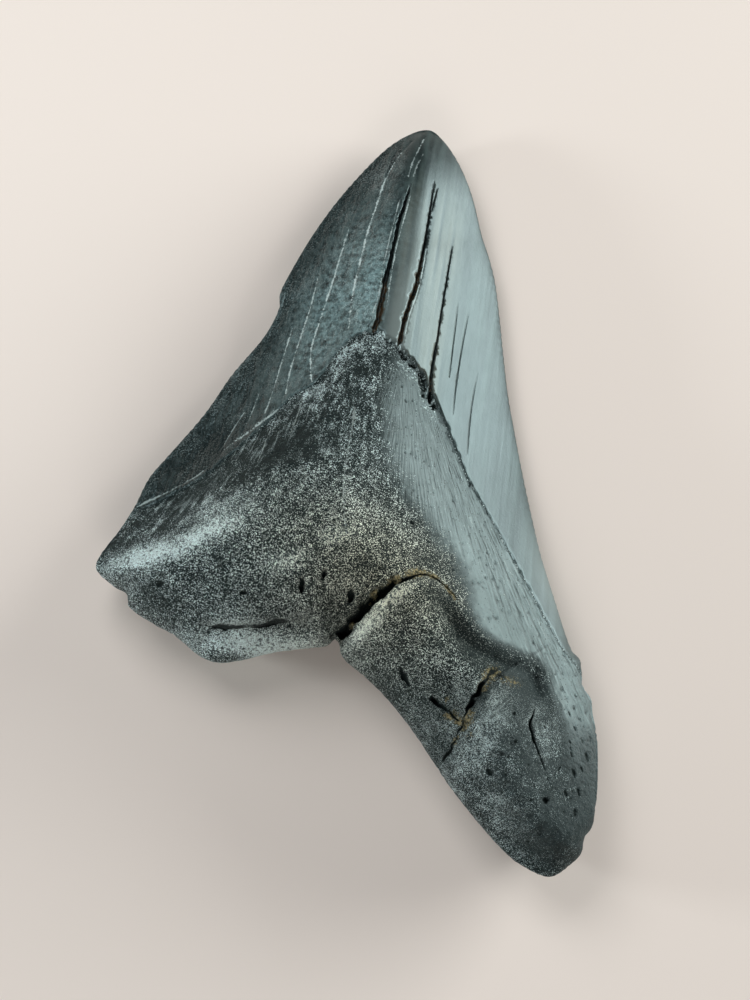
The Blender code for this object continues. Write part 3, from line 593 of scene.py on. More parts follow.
def triangulated(lines, loose, room):
    # points and triangles over the outline, with no inner edge between two of its points
    count = len(outline)
    kept, edges = [], [(i, (i + 1) % count) for i in range(count)]
    for line in lines:
        inside = insetOf(line) > 0.5
        for i, point in enumerate(line):
            if not inside[i]:
                continue
            kept.append(point)
            if i and inside[i - 1]:
                edges.append((count + len(kept) - 2, count + len(kept) - 1))
    kept = np.array(kept)
    tree = treeOf(kept)
    clear = np.array([tree.find((x, y, 0))[2] > room for x, y in loose])
    inner = np.vstack([kept, loose[clear]])
    while True:
        corners = [Vector(p) for p in np.vstack([outline, inner])]
        made = geometry.delaunay_2d_cdt(corners, edges, [list(range(count))], 1, 1e-6)
        found, _, faces, origin, _, _ = made
        points = np.array([tuple(v) for v in found])
        order = np.full(len(points), -1)
        for i, sources in enumerate(origin):
            if sources and min(sources) < count:
                order[i] = min(sources)
        order[order < 0] = np.arange(count, len(points))
        points[order] = points.copy()
        points[:count] = outline
        triangles = order[np.array(faces)]
        pairs = np.vstack([triangles[:, [0, 1]], triangles[:, [1, 2]], triangles[:, [2, 0]]])
        pairs, uses = np.unique(np.sort(pairs, axis=1), axis=0, return_counts=True)
        bridges = pairs[(uses == 2) & (pairs < count).all(axis=1)]
        if not len(bridges):
            return points, triangles
        inner = np.vstack([inner, (outline[bridges[:, 0]] + outline[bridges[:, 1]]) / 2])


def flowMarks(p, inset, marks):
    # where streaks, furrows and serrations run
    x, y = p.T
    intoRoot, toMesial = marks["intoRoot"], x > -2
    fan = (x - np.where(toMesial, 0.5, -2)) / np.maximum(np.where(toMesial, 20, 68) - y, 8) * 40
    marks["across"] = np.where(intoRoot > 0, fan, x)
    marks["downward"] = y
    marks["inset"] = inset
    marks["edgeRun"] = nearestOnPath(p, outline, True)[1] * len(outline) * tooth["rimStep"]
    marks["crownEdge"] = ease(0.6, 0, inset) * ease(0.5, -0.5, intoRoot)


def seamMarks(p, marks, lingual):
    marks["paleHighlight"], marks["veinGap"] = np.zeros(len(p)), np.full(len(p), 6.0)
    for points, halfWidth, strength in veins if lingual else ():
        gap, share = beside(p, points)
        gap = np.abs(gap) / halfWidth + 3 * ease(0.12, 0, share)
        marks["paleHighlight"] = np.where(gap < marks["veinGap"], strength, marks["paleHighlight"])
        marks["veinGap"] = np.minimum(gap, marks["veinGap"])


def enamelMarks(p, marks):
    x, y = p.T
    onEnamel = ease(0.2, -0.2, marks["intoRoot"])
    marks["rugged"] = ease(-3.4, -6, x + 0.6 * waves(p, 4, 74))
    marks["stain"] = np.zeros(len(p))
    for name, start in (("crownFirst", 0.6), ("crownSecond", 0.4), ("crownThird", 0.8)):
        across, _, share = grooveAcross(p, name)
        stain = ease(1.15, 0.9, np.abs(across)) * ease(start, start + 0.15, share)
        marks["stain"] = np.maximum(marks["stain"], stain)
    # painted shade: the enamel darker near the distal edge, where the blade mirrors dim surroundings
    edge = ease(6.5, 1, np.abs(beside(p, distalSide)[0])) * ease(60, 50, y) * onEnamel
    marks["dark"] = np.maximum(marks["dark"], 0.85 * edge)
    # a warm, lighter tone on the mesial face, partly painted light as the side that faces the light
    buffAndLit = 0.65 * ease(1, 3, x)
    buffAndLit += 0.45 * ease(-4.2, -1.5, x) * ease(2, 1, x)
    marks["buffAndLit"] = buffAndLit * ease(9.5, 5, x) * ease(56, 40, y) * onEnamel
    # lighter enamel on the band between the middle fissures, and a painted highlight on the mesial flank
    band = ease(-4.4, -1.8, x) * ease(1.4, 0.2, x) * ease(50, 34, y)
    band *= 0.4 + 0.5 * ease(34, 20, y)
    pale = np.maximum(spot(p, "paleFlank"), band)
    marks["paleAndHighlight"] = np.where(marks["intoRoot"] < 0, pale, marks["paleAndHighlight"])
    # painted teal highlight on the crown's shaded distal face
    tealHighlight = ease(-10.2, -9, x) * ease(-3.6, -4.8, x) * spot(p, "tealMiddle")
    marks["tealHighlight"] = np.maximum(tealHighlight, 0.75 * spot(p, "tealBlade"))


def rootMarks(p, marks):
    x, y = p.T
    intoRoot = marks["intoRoot"]
    fromBorder, share = beside(p, wornBorder)
    reach = alongPath(share, wornReach)
    start = -0.25 * reach - 0.2 * np.maximum(reach - 2.5, 0)
    turned = fromBorder + 0.12 * reach * waves(p, 3, 71)
    # the worn slope, smooth and painted lighter as the side that faces the light
    marks["wornAndLit"] = ease(start, reach, turned) * ease(0, 0.3, intoRoot)
    # the painted shade stops short of the worn slope
    marks["dark"] *= ease(2, -0.3, fromBorder)
    marks["warm"] = spot(p, "warm")
    beyondStep = ease(-0.2, 1.6, beside(p, lobeStep)[0])
    matte = np.exp(-ellipse(p, *spots["matteLobe"]) ** 2) * beyondStep * (0.75 + 0.4 * waves(p, 2.2, 73))
    marks["matte"] = np.minimum(matte + 0.7 * spot(p, "matteScarp") + spot(p, "matteRim"), 1)
    marks["rocky"] = ease(10, 20, x) * ease(-36, -44, y)
    crumbled = ease(-0.7, 0.1, intoRoot) * ease(3.4, 1.2, intoRoot)
    marks["crumbled"] = crumbled * ease(-12, -9, x) * ease(10, 7, x)


def fibreMarks(p, marks, lingual):
    # where the root is furrowed below the enamel, and where it shows strands
    x, y = p.T
    intoRoot = marks["intoRoot"]
    if not lingual:
        marks["furrowed"] = marks["strand"] = ease(0, 1, intoRoot) * ease(9, 3, intoRoot)
        return
    onRoot = ease(0, 0.5, intoRoot)
    near = ease(11, 3, intoRoot) * onRoot
    marks["furrowed"] = near * np.maximum(ease(3, 8, x), 0.8 * ease(-8, -14, x))
    marks["strand"] = np.maximum(ease(24, 6, intoRoot) * onRoot * ease(-22, -10, y), near)


def colourMarks(p, inset, marks, lingual):
    # masks from 0 to 1 that the surface and its materials read
    flowMarks(p, inset, marks)
    for name, places in patches.items():
        marks[name] = np.max([strength * np.exp(-ellipse(p, *place)) for *place, strength in places], axis=0)
    for x, y, radius, _ in pebbles:
        grain = ease(1.2, 0.8, ellipse(p, x, y, radius, radius, 0))
        marks["sediment"] = np.maximum(marks["sediment"], grain)
    seamMarks(p, marks, lingual)
    enamelMarks(p, marks)
    rootMarks(p, marks)
    fibreMarks(p, marks, lingual)
    if not lingual:
        for name in ("dark", "paleAndHighlight", "buffAndLit", "tealHighlight", "wornAndLit", "matte"):
            marks[name] *= ease(tooth["colourReach"], 0, inset)
        for name in ("stain", "sediment", "crumbled"):
            marks[name] *= 0


def builtSide(lines, loose, lingual):
    height, room = (lingualHeight, "lingualRoom") if lingual else (labialHeight, "labialRoom")
    points, triangles = triangulated(lines, loose, tooth[room])
    inset = np.maximum(insetOf(points), 0)
    marks = {}
    z = height(points, inset, marks)
    z[:len(outline)] = rimHeight(outline)
    colourMarks(points, inset, marks, lingual)
    print("lingual" if lingual else "labial", "side", len(points), "points")
    return np.column_stack([points, z]), triangles, marks


def fitted(vertices):
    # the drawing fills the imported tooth's own box
    low, high = (np.array(corner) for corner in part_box("megalodon_tooth"))
    lowest, highest = vertices.min(0), vertices.max(0)
    return low + (vertices - lowest) * (high - low) / (highest - lowest)


def toothMesh():
    count = len(outline)
    crown, root = (staggeredGrid(tooth[step], tooth["lingualMargin"]) for step in ("crownStep", "rootStep"))
    crown = crown[beside(crown, lingualEnamelLine)[0] > -tooth["lingualRoom"]]
    root = root[beside(root, lingualEnamelLine)[0] <= -tooth["lingualRoom"]]
    loose = np.vstack([rimRings(tooth["lingualRings"]), crown, root])
    top, topFaces, topMarks = builtSide(lingualLines(), loose, True)
    grid = staggeredGrid(tooth["labialStep"], tooth["labialMargin"])
    loose = np.vstack([rimRings(tooth["labialRings"]), grid])
    enamelStep = linesBeside(labialEnamelLine, (0.25, 0.25), (-1, 1))
    under, underFaces, underMarks = builtSide(enamelStep, loose, False)
    underFaces = np.where(underFaces < count, underFaces, underFaces + len(top) - count)[:, ::-1]
    vertices = fitted(np.vstack([top, under[count:]]))
    mesh = bpy.data.meshes.new("megalodonTooth")
    mesh.from_pydata(vertices.tolist(), [], np.vstack([topFaces, underFaces]).tolist())
    mesh.shade_smooth()
    for name, values in topMarks.items():
        values = np.concatenate([values, underMarks[name][count:]]).astype(np.float32)
        mesh.attributes.new(name, "FLOAT", "POINT").data.foreach_set("value", values)
    print("tooth mesh", len(mesh.polygons), "triangles")
    return mesh


def mathMethod(operation, turned=False):
    def method(field, other):
        return field.nodes.calc(operation, *((other, field) if turned else (field, other)))
    return method


class Field:
    # an output of a node, whose sums and products are made by Math nodes

    __add__ = __radd__ = mathMethod("ADD")
    __mul__ = __rmul__ = mathMethod("MULTIPLY")
    __sub__, __rsub__ = mathMethod("SUBTRACT"), mathMethod("SUBTRACT", True)
    __truediv__, __rtruediv__ = mathMethod("DIVIDE"), mathMethod("DIVIDE", True)
    most = mathMethod("MAXIMUM")

    def __init__(self, nodes, socket):
        self.nodes, self.socket = nodes, socket

    def __getitem__(self, name):
        return Field(self.nodes, self.socket.node.outputs[name])

    def clamped(self):
        return self.nodes.calc("ADD", self, 0, clamp=True)

    def ramp(self, low, high):
        # 0 at low, 1 at high, eased
        inputs = {"Value": self, "From Min": low, "From Max": high, "To Min": 0, "To Max": 1}
        return self.nodes.add("ShaderNodeMapRange", inputs, interpolation_type="SMOOTHSTEP")


class Nodes:
    # adds nodes to a tree; each call gives an output of the new node

    def __init__(self, tree):
        self.tree, self.place = tree, None

    def add(self, kind, inputs=None, output=0, **settings):
        node = self.tree.nodes.new(kind)
        for name, value in settings.items():
            setattr(node, name, value)
        for name, value in (inputs or {}).items():
            if isinstance(value, Field):
                self.tree.links.new(value.socket, node.inputs[name])
            else:
                node.inputs[name].default_value = value
        return Field(self, node.outputs[output]) if node.outputs else None

    def sockets(self, inputs, outputs):
        # an input is given as its default value, or as its kind
        for name, value in inputs.items():
            kind = value if isinstance(value, str) else "Float"
            socket = self.tree.interface.new_socket(name, in_out="INPUT", socket_type="NodeSocket" + kind)
            if kind == "Float":
                socket.default_value = value
        for name, kind in outputs.items():
            self.tree.interface.new_socket(name, in_out="OUTPUT", socket_type="NodeSocket" + kind)
        return self.add("NodeGroupInput")

    def calc(self, operation, *values, clamp=False):
        return self.add("ShaderNodeMath", dict(enumerate(values)), operation=operation, use_clamp=clamp)

    def joined(self, x, y, z=0):
        return self.add("ShaderNodeCombineXYZ", {"X": x, "Y": y, "Z": z})

    def noise(self, scale, detail=2, vector=None, roughness=0.5):
        inputs = {"Vector": vector or self.place, "Scale": scale, "Detail": detail, "Roughness": roughness}
        return self.add("ShaderNodeTexNoise", inputs)


weathering = {
    "grain size": 0.62,  # mm, of the root's granules
    "grain height": 0.085,
    "pore spacing": 1.15,  # of the pinholes in the root
    "pore width": 0.3,
    "pore depth": 0.22,
    "furrow spacing": 0.55,  # of the furrows that run down from the enamel
    "furrow depth": 0.18,
    "streak spacing": 1.6,  # of the crown's faint lengthwise waves
    "streak depth": 0.03,
    "serration pitch": 0.75,  # of the worn cutting edges
    "serration depth": 0.045,
    "seed": 7.0,
}


def weatheringTree():
    nodes = Nodes(bpy.data.node_groups.new("weatheredSurface", "GeometryNodeTree"))
    inputs = {"Geometry": "Geometry", **weathering}
    inputs.update(dict.fromkeys(("enamel material", "root material"), "Material"))
    given = nodes.sockets(inputs, {"Geometry": "Geometry"})
    seed = given["seed"]

    def mark(name):
        return nodes.add("GeometryNodeInputNamedAttribute", {"Name": name}, "Attribute", data_type="FLOAT")

    def scaled(vector, factor):
        return nodes.add("ShaderNodeVectorMath", {0: vector, "Scale": factor}, operation="SCALE")

    place = scaled(nodes.add("GeometryNodeInputPosition"), perMetre)
    nodes.place = nodes.add("ShaderNodeVectorMath", {0: place, 1: nodes.joined(seed, 0, seed)})
    intoRoot, across, downward = mark("intoRoot"), mark("across"), mark("downward")
    onRoot = intoRoot.ramp(-0.1, 0.2)
    lifted = nodes.add("ShaderNodeSeparateXYZ", {0: place}, "Z").ramp(0.25, 0.8)

    grain = nodes.noise(1 / given["grain size"], 1.5) - 0.5
    granules = grain * given["grain height"] * (onRoot * (1 - 0.72 * mark("wornAndLit"))) * 3

    # pinholes, in some of the cells
    cells = nodes.add("ShaderNodeTexVoronoi", {"Vector": nodes.place, "Scale": 1 / given["pore spacing"]})
    chosen = nodes.add("ShaderNodeSeparateXYZ", {0: cells["Color"]})
    pore = (1 - cells * given["pore spacing"] / (given["pore width"] * (0.5 + chosen))).clamped()
    pore = pore * chosen.ramp(0.35, 0.45) * onRoot

    # furrows below the enamel, and the crown's lengthwise waves
    run = nodes.joined(across / given["furrow spacing"], downward * 0.11, seed)
    furrow = (nodes.noise(1, 1, run) - 0.5 - 0.06).most(0) * mark("furrowed") * 4
    run = nodes.joined(across / given["streak spacing"], downward * 0.04, seed)
    streak = (nodes.noise(1, 2, run) - 0.5) * given["streak depth"] * ((1 - onRoot) * 2)

    # serrations, worn away in places
    wave = nodes.calc("SINE", mark("edgeRun") / given["serration pitch"] * (2 * math.pi))
    kept = (nodes.noise(0.12, 1, place) - 0.5).ramp(-0.12, 0.1)
    serration = wave * given["serration depth"] * mark("crownEdge") * kept

    total = granules - pore * (given["pore depth"] * 1.6) - furrow * given["furrow depth"]
    total = (total + streak + serration) * (1 - mark("cavityShade")) * lifted * (1 / perMetre)
    offset = scaled(nodes.add("GeometryNodeInputNormal"), total)

    flow = given["Geometry"]
    for name, value in (("pore", pore), ("furrow", furrow)):
        inputs = {"Geometry": flow, "Name": name, "Value": value}
        flow = nodes.add("GeometryNodeStoreNamedAttribute", inputs, data_type="FLOAT", domain="POINT")
    flow = nodes.add("GeometryNodeSetPosition", {"Geometry": flow, "Offset": offset})
    flow = nodes.add("GeometryNodeRealizeInstances", {0: flow})
    inputs = {"A": intoRoot, "B": 0}
    onCrown = nodes.add("FunctionNodeCompare", inputs, data_type="FLOAT", operation="LESS_THAN")
    for material, where in (("root material", True), ("enamel material", onCrown)):
        inputs = {"Geometry": flow, "Selection": where, "Material": given[material]}
        flow = nodes.add("GeometryNodeSetMaterial", inputs)
    nodes.add("NodeGroupOutput", {"Geometry": flow})
    return nodes.tree


def sharedGroup(name, values, outputs, build):
    nodes = Nodes(bpy.data.node_groups.new(name, "ShaderNodeTree"))
    given = nodes.sockets({"Vector": "Vector", **values}, dict.fromkeys(outputs, "Float"))
    nodes.place = given["Vector"]
    nodes.add("NodeGroupOutput", dict(zip(outputs, build(nodes, given))))
    return nodes.tree


def glintSpeckle(nodes, given):
    # glints of the granules, painted as pale specks: a mask of bright specks, and their height
    scale = 1 / given["Size"]
    fine = nodes.noise(scale, 1.5)
    patch = (nodes.noise(0.16, 2) - 0.5) * given["Patchiness"]
    edge = 0.66 - 0.32 * given["Cover"]
    found = (fine + patch).ramp(edge, edge + 0.09)
    return found * nodes.noise(scale * 0.3, 1).ramp(0.25, 0.5), fine


def brokenMask(nodes, given):
    # a mask whose edge is bitten away, for stain and sediment
    mask = given["Mask"]
    bitten = mask + (nodes.noise(1 / given["Size"], 3, roughness=0.65) - 0.5) * given["Bite"]
    return ((bitten * mask.ramp(0, 0.1)).ramp(0.3, 0.75),)


def edgeWear(nodes, given):
    # the rim, rubbed lighter
    return ((1 - given["Inset"] / given["Reach"]).clamped() * nodes.noise(1.3, 3).ramp(0.4, 0.65),)


speckleValues = {"Size": 0.5, "Cover": 0.3, "Patchiness": 0.5}
speckles = sharedGroup("glintSpeckle", speckleValues, ("Speck", "Height"), glintSpeckle)
stains = sharedGroup("brokenMask", {"Mask": 0.0, "Size": 0.6, "Bite": 0.8}, ("Mask",), brokenMask)
wear = sharedGroup("edgeWear", {"Inset": 0.0, "Reach": 0.6}, ("Mask",), edgeWear)


class Finish(Nodes):
    # a material's nodes, with the object's coordinates in mm and a colour that is built up in layers

    def __init__(self, name, values):
        self.material = bpy.data.materials.new(name)
        self.material.use_nodes = True
        super().__init__(self.material.node_tree)
        self.values, self.colour = values, None
        coordinates = self.add("ShaderNodeTexCoord", output="Object")
        self.place = self.add("ShaderNodeMapping", {"Vector": coordinates, "Scale": (perMetre,) * 3})

    def mark(self, name):
        return self.add("ShaderNodeAttribute", output="Fac", attribute_name=name)

    def shared(self, group, **inputs):
        return self.add("ShaderNodeGroup", {"Vector": self.place, **inputs}, node_tree=group)

    def lengthwise(self, across, downward):
        return self.joined(self.mark("across") * across, self.mark("downward") * downward)

    def mix(self, share, *colours):
        below, above = ((*self.values[c], 1) if isinstance(c, str) else c for c in colours)
        return self.add("ShaderNodeMix", {0: share, 6: below, 7: above}, 2, data_type="RGBA")

    def paint(self, share, colour):
        self.colour = self.mix(share, self.colour, colour)

    def bump(self, height, distance, strength, below=None):
        inputs = {"Height": height, "Distance": distance, "Strength": strength}
        return self.add("ShaderNodeBump", {**inputs, "Normal": below} if below else inputs)

    def seams(self):
        # painted highlight along the fine cracks, broken into beads
        reach = self.noise(2.6) * 3.4 + self.noise(0.45, 1) * 2.4 - 2.1
        return self.mark("veinGap").ramp(reach, reach - 0.9) * self.mark("paleHighlight")

    def hollows(self):
        # painted shade inside cracks and pits, with a gritty edge
        inside = self.mark("cavityShade")
        grit = (self.noise(2.4, 3, roughness=0.65) - 0.5) * 1.1 * inside.ramp(0, 0.2)
        return (inside + grit).ramp(0.15, 0.75)

    def finished(self, rough, normal):
        inputs = self.tree.nodes["Principled BSDF"].inputs
        for name, value in (("Base Color", self.colour), ("Roughness", rough), ("Normal", normal)):
            self.tree.links.new(value.socket, inputs[name])
        inputs["IOR"].default_value = self.values["ior"]
        inputs["Specular Tint"].default_value = (*self.values["gloss"], 1)
        return self.material


enamelFinish = {
    # the enamel's darkest tone, which is also the colour of the painted shade
    "dark": (0.006, 0.011, 0.011),
    "light": (0.036, 0.054, 0.052),
    # warm tone, also the painted light of the lit mesial face
    "buffAndLit": (0.12, 0.125, 0.1),
    # the colour of the painted teal highlight
    "tealHighlight": (0.21, 0.33, 0.34),
    # painted highlight along fine cracks, and the colour of painted glints
    "paleHighlight": (0.52, 0.62, 0.61),
    "stain": (0.075, 0.043, 0.018),
    # painted shade inside cracks and pits
    "cavityShade": (0.003, 0.003, 0.003),
    # edge wear, and also the colour of painted highlights
    "wornAndLit": (0.14, 0.17, 0.165),
    "gloss": (0.7, 0.96, 1),
    "ior": 1.55,
    "roughness": 0.36,
    "speckSize": 0.22,
    "fineBump": 0.00016,  # metres, as the other bumps
    "ruggedBump": 0.0008,
    "streakBump": 0.00012,
}


def enamelMaterial():
    finish, values = Finish("fossilEnamel", enamelFinish), enamelFinish
    noise, mark, paint = finish.noise, finish.mark, finish.paint
    rugged, dark = mark("rugged"), mark("dark")
    along = finish.lengthwise(1, 0.3)
    streak = noise(0.8, 1.5, finish.lengthwise(1, 0.05))
    mottle = noise(1.1, 4, along, 0.6)
    tone = streak * 0.65 + noise(0.14, 3) * 0.35 + (mottle - 0.5) * (rugged * 0.65 + 0.25)
    finish.colour = finish.mix(tone.ramp(0.36, 0.68), "dark", "light")
    # painted shade on the distal blade and in the darker patches
    paint(dark, "dark")
    # warm tone on the mesial face, partly painted light
    paint(mark("buffAndLit") * streak.ramp(0.3, 0.6), "buffAndLit")
    # painted teal highlight
    tealHighlight = mark("tealHighlight") * noise(0.9, 4, roughness=0.7).ramp(0.32, 0.66)
    paint(tealHighlight, "tealHighlight")
    # painted glints: pale specks on the rugged enamel and in the teal highlight
    specks = finish.shared(speckles, Size=values["speckSize"], Cover=0.3, Patchiness=0.5) * (rugged * 0.35)
    tealSpecks = tealHighlight * finish.shared(speckles, Size=values["speckSize"], Cover=0.5, Patchiness=0.3)
    paint(specks.most(tealSpecks) * 0.6, "paleHighlight")
    paint(finish.shared(wear, Inset=mark("inset"), Reach=0.5) * 0.25, "wornAndLit")
    # lighter band between the middle fissures, and a painted highlight on the mesial flank
    paint(mark("paleAndHighlight"), "wornAndLit")
    # painted highlight along the fine cracks
    paleHighlight = finish.seams()
    paint(paleHighlight, "paleHighlight")
    # painted shade inside the cracks and pits
    paint(finish.hollows(), "cavityShade")
    stain = finish.shared(stains, Mask=mark("stain"), Size=0.45, Bite=2)
    paint(stain * noise(2.2, 3).ramp(0.36, 0.62) * 0.9, "stain")
    uneven = (mottle.ramp(0.25, 0.75) - 0.5) * 0.3 * (rugged + 0.15)
    rough = values["roughness"] + uneven - dark * 0.2 + paleHighlight * 0.15
    normal = finish.bump(noise(2.6, 4), values["fineBump"], rugged * 0.55 + 0.12)
    normal = finish.bump(noise(0.55, 3, along, 0.6), values["ruggedBump"], rugged * 0.6, normal)
    normal = finish.bump(streak, values["streakBump"], 0.5, normal)
    return finish.finished(rough, normal)


rootFinish = {
    # the ground between the granules, which the painted shade leaves bare
    "dark": (0.003, 0.004, 0.004),
    "cool": (0.01, 0.014, 0.015),
    "warm": (0.016, 0.015, 0.012),
    # pale specks: painted glints of the granules
    "coolGlint": (0.78, 0.95, 0.95),
    "warmGlint": (0.9, 0.92, 0.73),
    # the worn slope's colour, lightened as painted light on the side that faces the light
    "wornAndLit": (0.168, 0.212, 0.216),
    "matte": (0.052, 0.064, 0.066),
    # the colour of the painted highlights on crests and lit strips
    "highlight": (0.17, 0.23, 0.235),
    # painted shade in pinholes and furrows
    "pore": (0.006, 0.006, 0.006),
    # painted shade inside cracks and pits
    "cavityShade": (0.002, 0.002, 0.002),
    "sediment": (0.38, 0.31, 0.15),
    "sedimentShade": (0.066, 0.054, 0.024),
    # painted highlight along fine cracks
    "paleHighlight": (0.5, 0.58, 0.56),
    "gloss": (0.66, 1, 0.97),
    "ior": 1.38,
    "roughness": 0.58,
    "speckSize": 0.165,
    "speckCover": 0.38,
    "speckBump": 0.00035,
    "rockBump": 0.0022,
    "strandBump": 0.00035,
}


def pinholes(finish, wornAndLit):
    # painted shade in small holes in clusters on the worn slope, and in the holes that the mesh has
    inputs = {"Vector": finish.place, "Scale": 1.9}
    cells = finish.add("ShaderNodeTexVoronoi", inputs, voronoi_dimensions="2D")
    chosen = finish.add("ShaderNodeSeparateColor", {0: cells["Color"]})
    reach = finish.calc("POWER", chosen, 2) * 0.27
    found = cells.ramp(reach, reach - 0.08) * finish.noise(0.6).ramp(0.34, 0.56) * wornAndLit.ramp(0.1, 0.5)
    return found.most(finish.mark("pore").ramp(0.2, 0.6))


def rootMaterial():
    finish, values = Finish("fossilRoot", rootFinish), rootFinish
    noise, mark, paint = finish.noise, finish.mark, finish.paint
    names = ("warm", "paleAndHighlight", "matte", "rocky", "furrowed", "crumbled")
    warm, paleAndHighlight, matte, rocky, furrowed, crumbled = (mark(name) for name in names)
    fine = noise(3.2, 3, roughness=0.65)
    finish.colour = finish.mix(fine.ramp(0.38, 0.62), "dark", finish.mix(warm, "cool", "warm"))
    # painted highlight on crests and lit strips
    paint(paleAndHighlight * 0.32, "highlight")
    strand = noise(1, 2.5, finish.lengthwise(2.4, 0.22))
    strands = (strand - 0.5) * mark("strand")
    # painted shade: fewer and dimmer pale specks, and none of the worn slope's lightening
    dark = mark("dark").ramp(0.05, 0.95)
    # the worn slope: smooth, and painted lighter as the side that faces the light
    wornAndLit = mark("wornAndLit") + (noise(1.1, 3) - 0.5) * 0.5
    wornAndLit = (wornAndLit + strands * 1.2).ramp(0, 1) * mark("wornAndLit").ramp(0, 0.15) * (1 - dark)
    paint(wornAndLit, "wornAndLit")
    paint(matte * 0.88, "matte")
    paint(wornAndLit * strand.ramp(0.54, 0.34) * 0.4 * mark("strand"), "matte")

    # the salt-and-pepper grains, whose pale specks are painted glints
    clumps = (noise(0.55, 3, roughness=0.6) - 0.5) * (rocky * 0.5 + 0.5)
    cover = paleAndHighlight * 0.55 + values["speckCover"] + clumps + strands * 1.2 + crumbled * 0.15
    gloom = noise(0.5).ramp(0.56, 0.4) * mark("strand")
    cover = cover - wornAndLit * 0.5 - matte * 0.3 - dark * 0.14 - gloom * 0.25
    size = values["speckSize"] - rocky * 0.03
    speckle = finish.shared(speckles, Size=size, Cover=cover, Patchiness=0.1)
    amount = speckle * (1 - dark * 0.7) * (1 - matte * 0.3)
    paint(amount, finish.mix(warm, "coolGlint", "warmGlint"))

    sediment = finish.shared(stains, Mask=mark("sediment"), Size=0.5, Bite=1.6)
    paint(sediment * 0.85, finish.mix(noise(2.8).ramp(0.42, 0.6), "sedimentShade", "sediment"))
    # painted highlight along the fine cracks
    paint(finish.seams(), "paleHighlight")
    # painted shade in the furrows below the enamel, and painted highlight on the ridges between them
    paint(furrowed * strand.ramp(0.46, 0.3) * 0.5, "pore")
    paint(furrowed * strand.ramp(0.56, 0.7) * 0.13, "coolGlint")
    # painted shade in the mesh's furrows and in the pinholes
    paint(mark("furrow") * 0.4, "pore")
    paint(pinholes(finish, wornAndLit) * 0.85, "pore")
    # painted shade inside the cracks and pits
    paint(finish.hollows(), "cavityShade")
    glints = finish.shared(speckles, Size=0.3, Cover=0.25, Patchiness=0.4)
    paint(glints * crumbled * 0.8, "coolGlint")
    rough = values["roughness"] + fine * 0.2 - amount.most(wornAndLit) * 0.33 + sediment * 0.25 - paleAndHighlight * 0.12
    normal = finish.bump(speckle["Height"], values["speckBump"], 1 - wornAndLit * 0.85)
    normal = finish.bump(noise(0.8, 4, roughness=0.65), values["rockBump"], rocky * 0.7, normal)
    normal = finish.bump(strand, values["strandBump"], mark("strand"), normal)
    return finish.finished(rough, normal)


def placed(name, data):
    thing = bpy.data.objects.new(name, data)
    bpy.context.scene.collection.objects.link(thing)
    return thing


def weatheredTooth():
    raw = placed("rawTooth", toothMesh())
    tree = weatheringTree()
    modifier = raw.modifiers.new("weathering", "NODES")
    modifier.node_group = tree
    values = {**weathering, "enamel material": enamelMaterial(), "root material": rootMaterial()}
    for item in tree.interface.items_tree:
        if item.in_out == "INPUT" and item.name in values:
            modifier[item.identifier] = values[item.name]
    bpy.context.view_layer.update()
    graph = bpy.context.evaluated_depsgraph_get()
    whole = raw.evaluated_get(graph)
    mesh = bpy.data.meshes.new_from_object(whole, preserve_all_data_layers=True, depsgraph=graph)
    bpy.data.objects.remove(raw)
    mesh.name = "fossilTooth"
    points = np.empty(len(mesh.vertices) * 3, np.float32)
    mesh.vertices.foreach_get("co", points)
    points = fitted(points.reshape(-1, 3).astype(float))
    mesh.vertices.foreach_set("co", points.astype(np.float32).ravel())
    mesh.update()
    print("weathered tooth", len(mesh.polygons), "triangles,", len(mesh.materials), "materials")
    return placed("fossilTooth", mesh)


piece = weatheredTooth()
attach(piece, "root")
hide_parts("megalodon_tooth")


floorValues = {"size": 3.0, "colour": (0.86, 0.77, 0.71), "roughness": 0.9}


def paleFloor():
    half = floorValues["size"] / 2
    mesh = bpy.data.meshes.new("floor")
    corners = [(-half, -half, 0), (half, -half, 0), (half, half, 0), (-half, half, 0)]
    mesh.from_pydata(corners, [], [(0, 1, 2, 3)])
    material = bpy.data.materials.new("floor")
    material.use_nodes = True
    inputs = material.node_tree.nodes["Principled BSDF"].inputs
    inputs["Base Color"].default_value = (*floorValues["colour"], 1)
    inputs["Roughness"].default_value = floorValues["roughness"]
    mesh.materials.append(material)
    return placed("floor", mesh)


paleFloor()
print("floor")


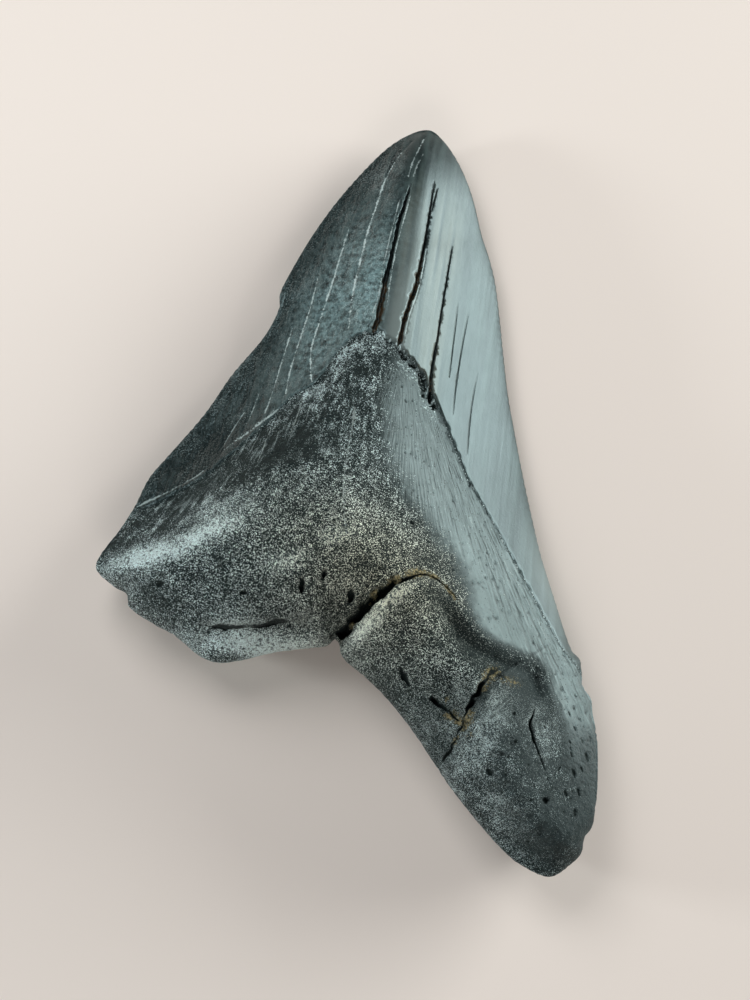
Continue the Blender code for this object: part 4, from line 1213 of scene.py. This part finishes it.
lights = {  # direction from the tooth, distance and size in metres, power in watts, colour
    "window": ((0.78, 0.51, 0.25), 0.60, (0.50, 0.28), 4.8, (0.97, 1.0, 0.98)),
    "back": ((-0.46, 0.38, 0.80), 0.32, (0.20, 0.17), 0.44, (0.98, 1.0, 1.0)),
    "left": ((-0.95, -0.16, 0.27), 0.45, (0.10, 0.06), 0.7, (0.90, 0.98, 1.0)),
    "front": ((0.10, -0.86, 0.48), 0.50, (0.34, 0.16), 0.75, (1.0, 0.99, 0.97)),
}
worldLight = {"colour": (0.95, 0.98, 1.0), "strength": 0.08}
cameraView = {
    "fieldOfView": 35.0,  # degrees, along the picture's height
    "azimuth": -4.8,  # degrees, from -Y towards +X
    "elevation": 72.0,
    "roll": 14.8,
    "distance": 0.2618,
    "target": (0.00006, -0.00795, 0.0080),
    "sensor": 36.0,
}


def addLights():
    for name, (direction, distance, size, power, colour) in lights.items():
        data = bpy.data.lights.new(name, "AREA")
        data.shape = "RECTANGLE"
        data.size, data.size_y = size
        data.energy = power
        data.color = colour
        light = placed(name, data)
        way = Vector(direction).normalized()
        light.location = Vector(cameraView["target"]) + way * distance
        light.rotation_euler = way.to_track_quat("Z", "Y").to_euler()
    world = bpy.data.worlds.new("studio")
    world.use_nodes = True
    background = world.node_tree.nodes["Background"]
    background.inputs["Color"].default_value = (*worldLight["colour"], 1)
    background.inputs["Strength"].default_value = worldLight["strength"]
    bpy.context.scene.world = world
    bpy.context.scene.view_settings.view_transform = "Standard"


def addCamera():
    azimuth, elevation = math.radians(cameraView["azimuth"]), math.radians(cameraView["elevation"])
    level = math.cos(elevation)
    back = Vector((math.sin(azimuth) * level, -math.cos(azimuth) * level, math.sin(elevation)))
    data = bpy.data.cameras.new("camera")
    data.sensor_fit = "VERTICAL"
    data.sensor_height = cameraView["sensor"]
    data.lens = cameraView["sensor"] / 2 / math.tan(math.radians(cameraView["fieldOfView"] / 2))
    data.clip_start = 0.001
    camera = placed("camera", data)
    camera.location = Vector(cameraView["target"]) + back * cameraView["distance"]
    roll = Matrix.Rotation(math.radians(cameraView["roll"]), 3, "Z")
    camera.rotation_euler = ((-back).to_track_quat("-Z", "Y").to_matrix() @ roll).to_euler()
    bpy.context.scene.camera = camera


addLights()
addCamera()
print("lights and camera")
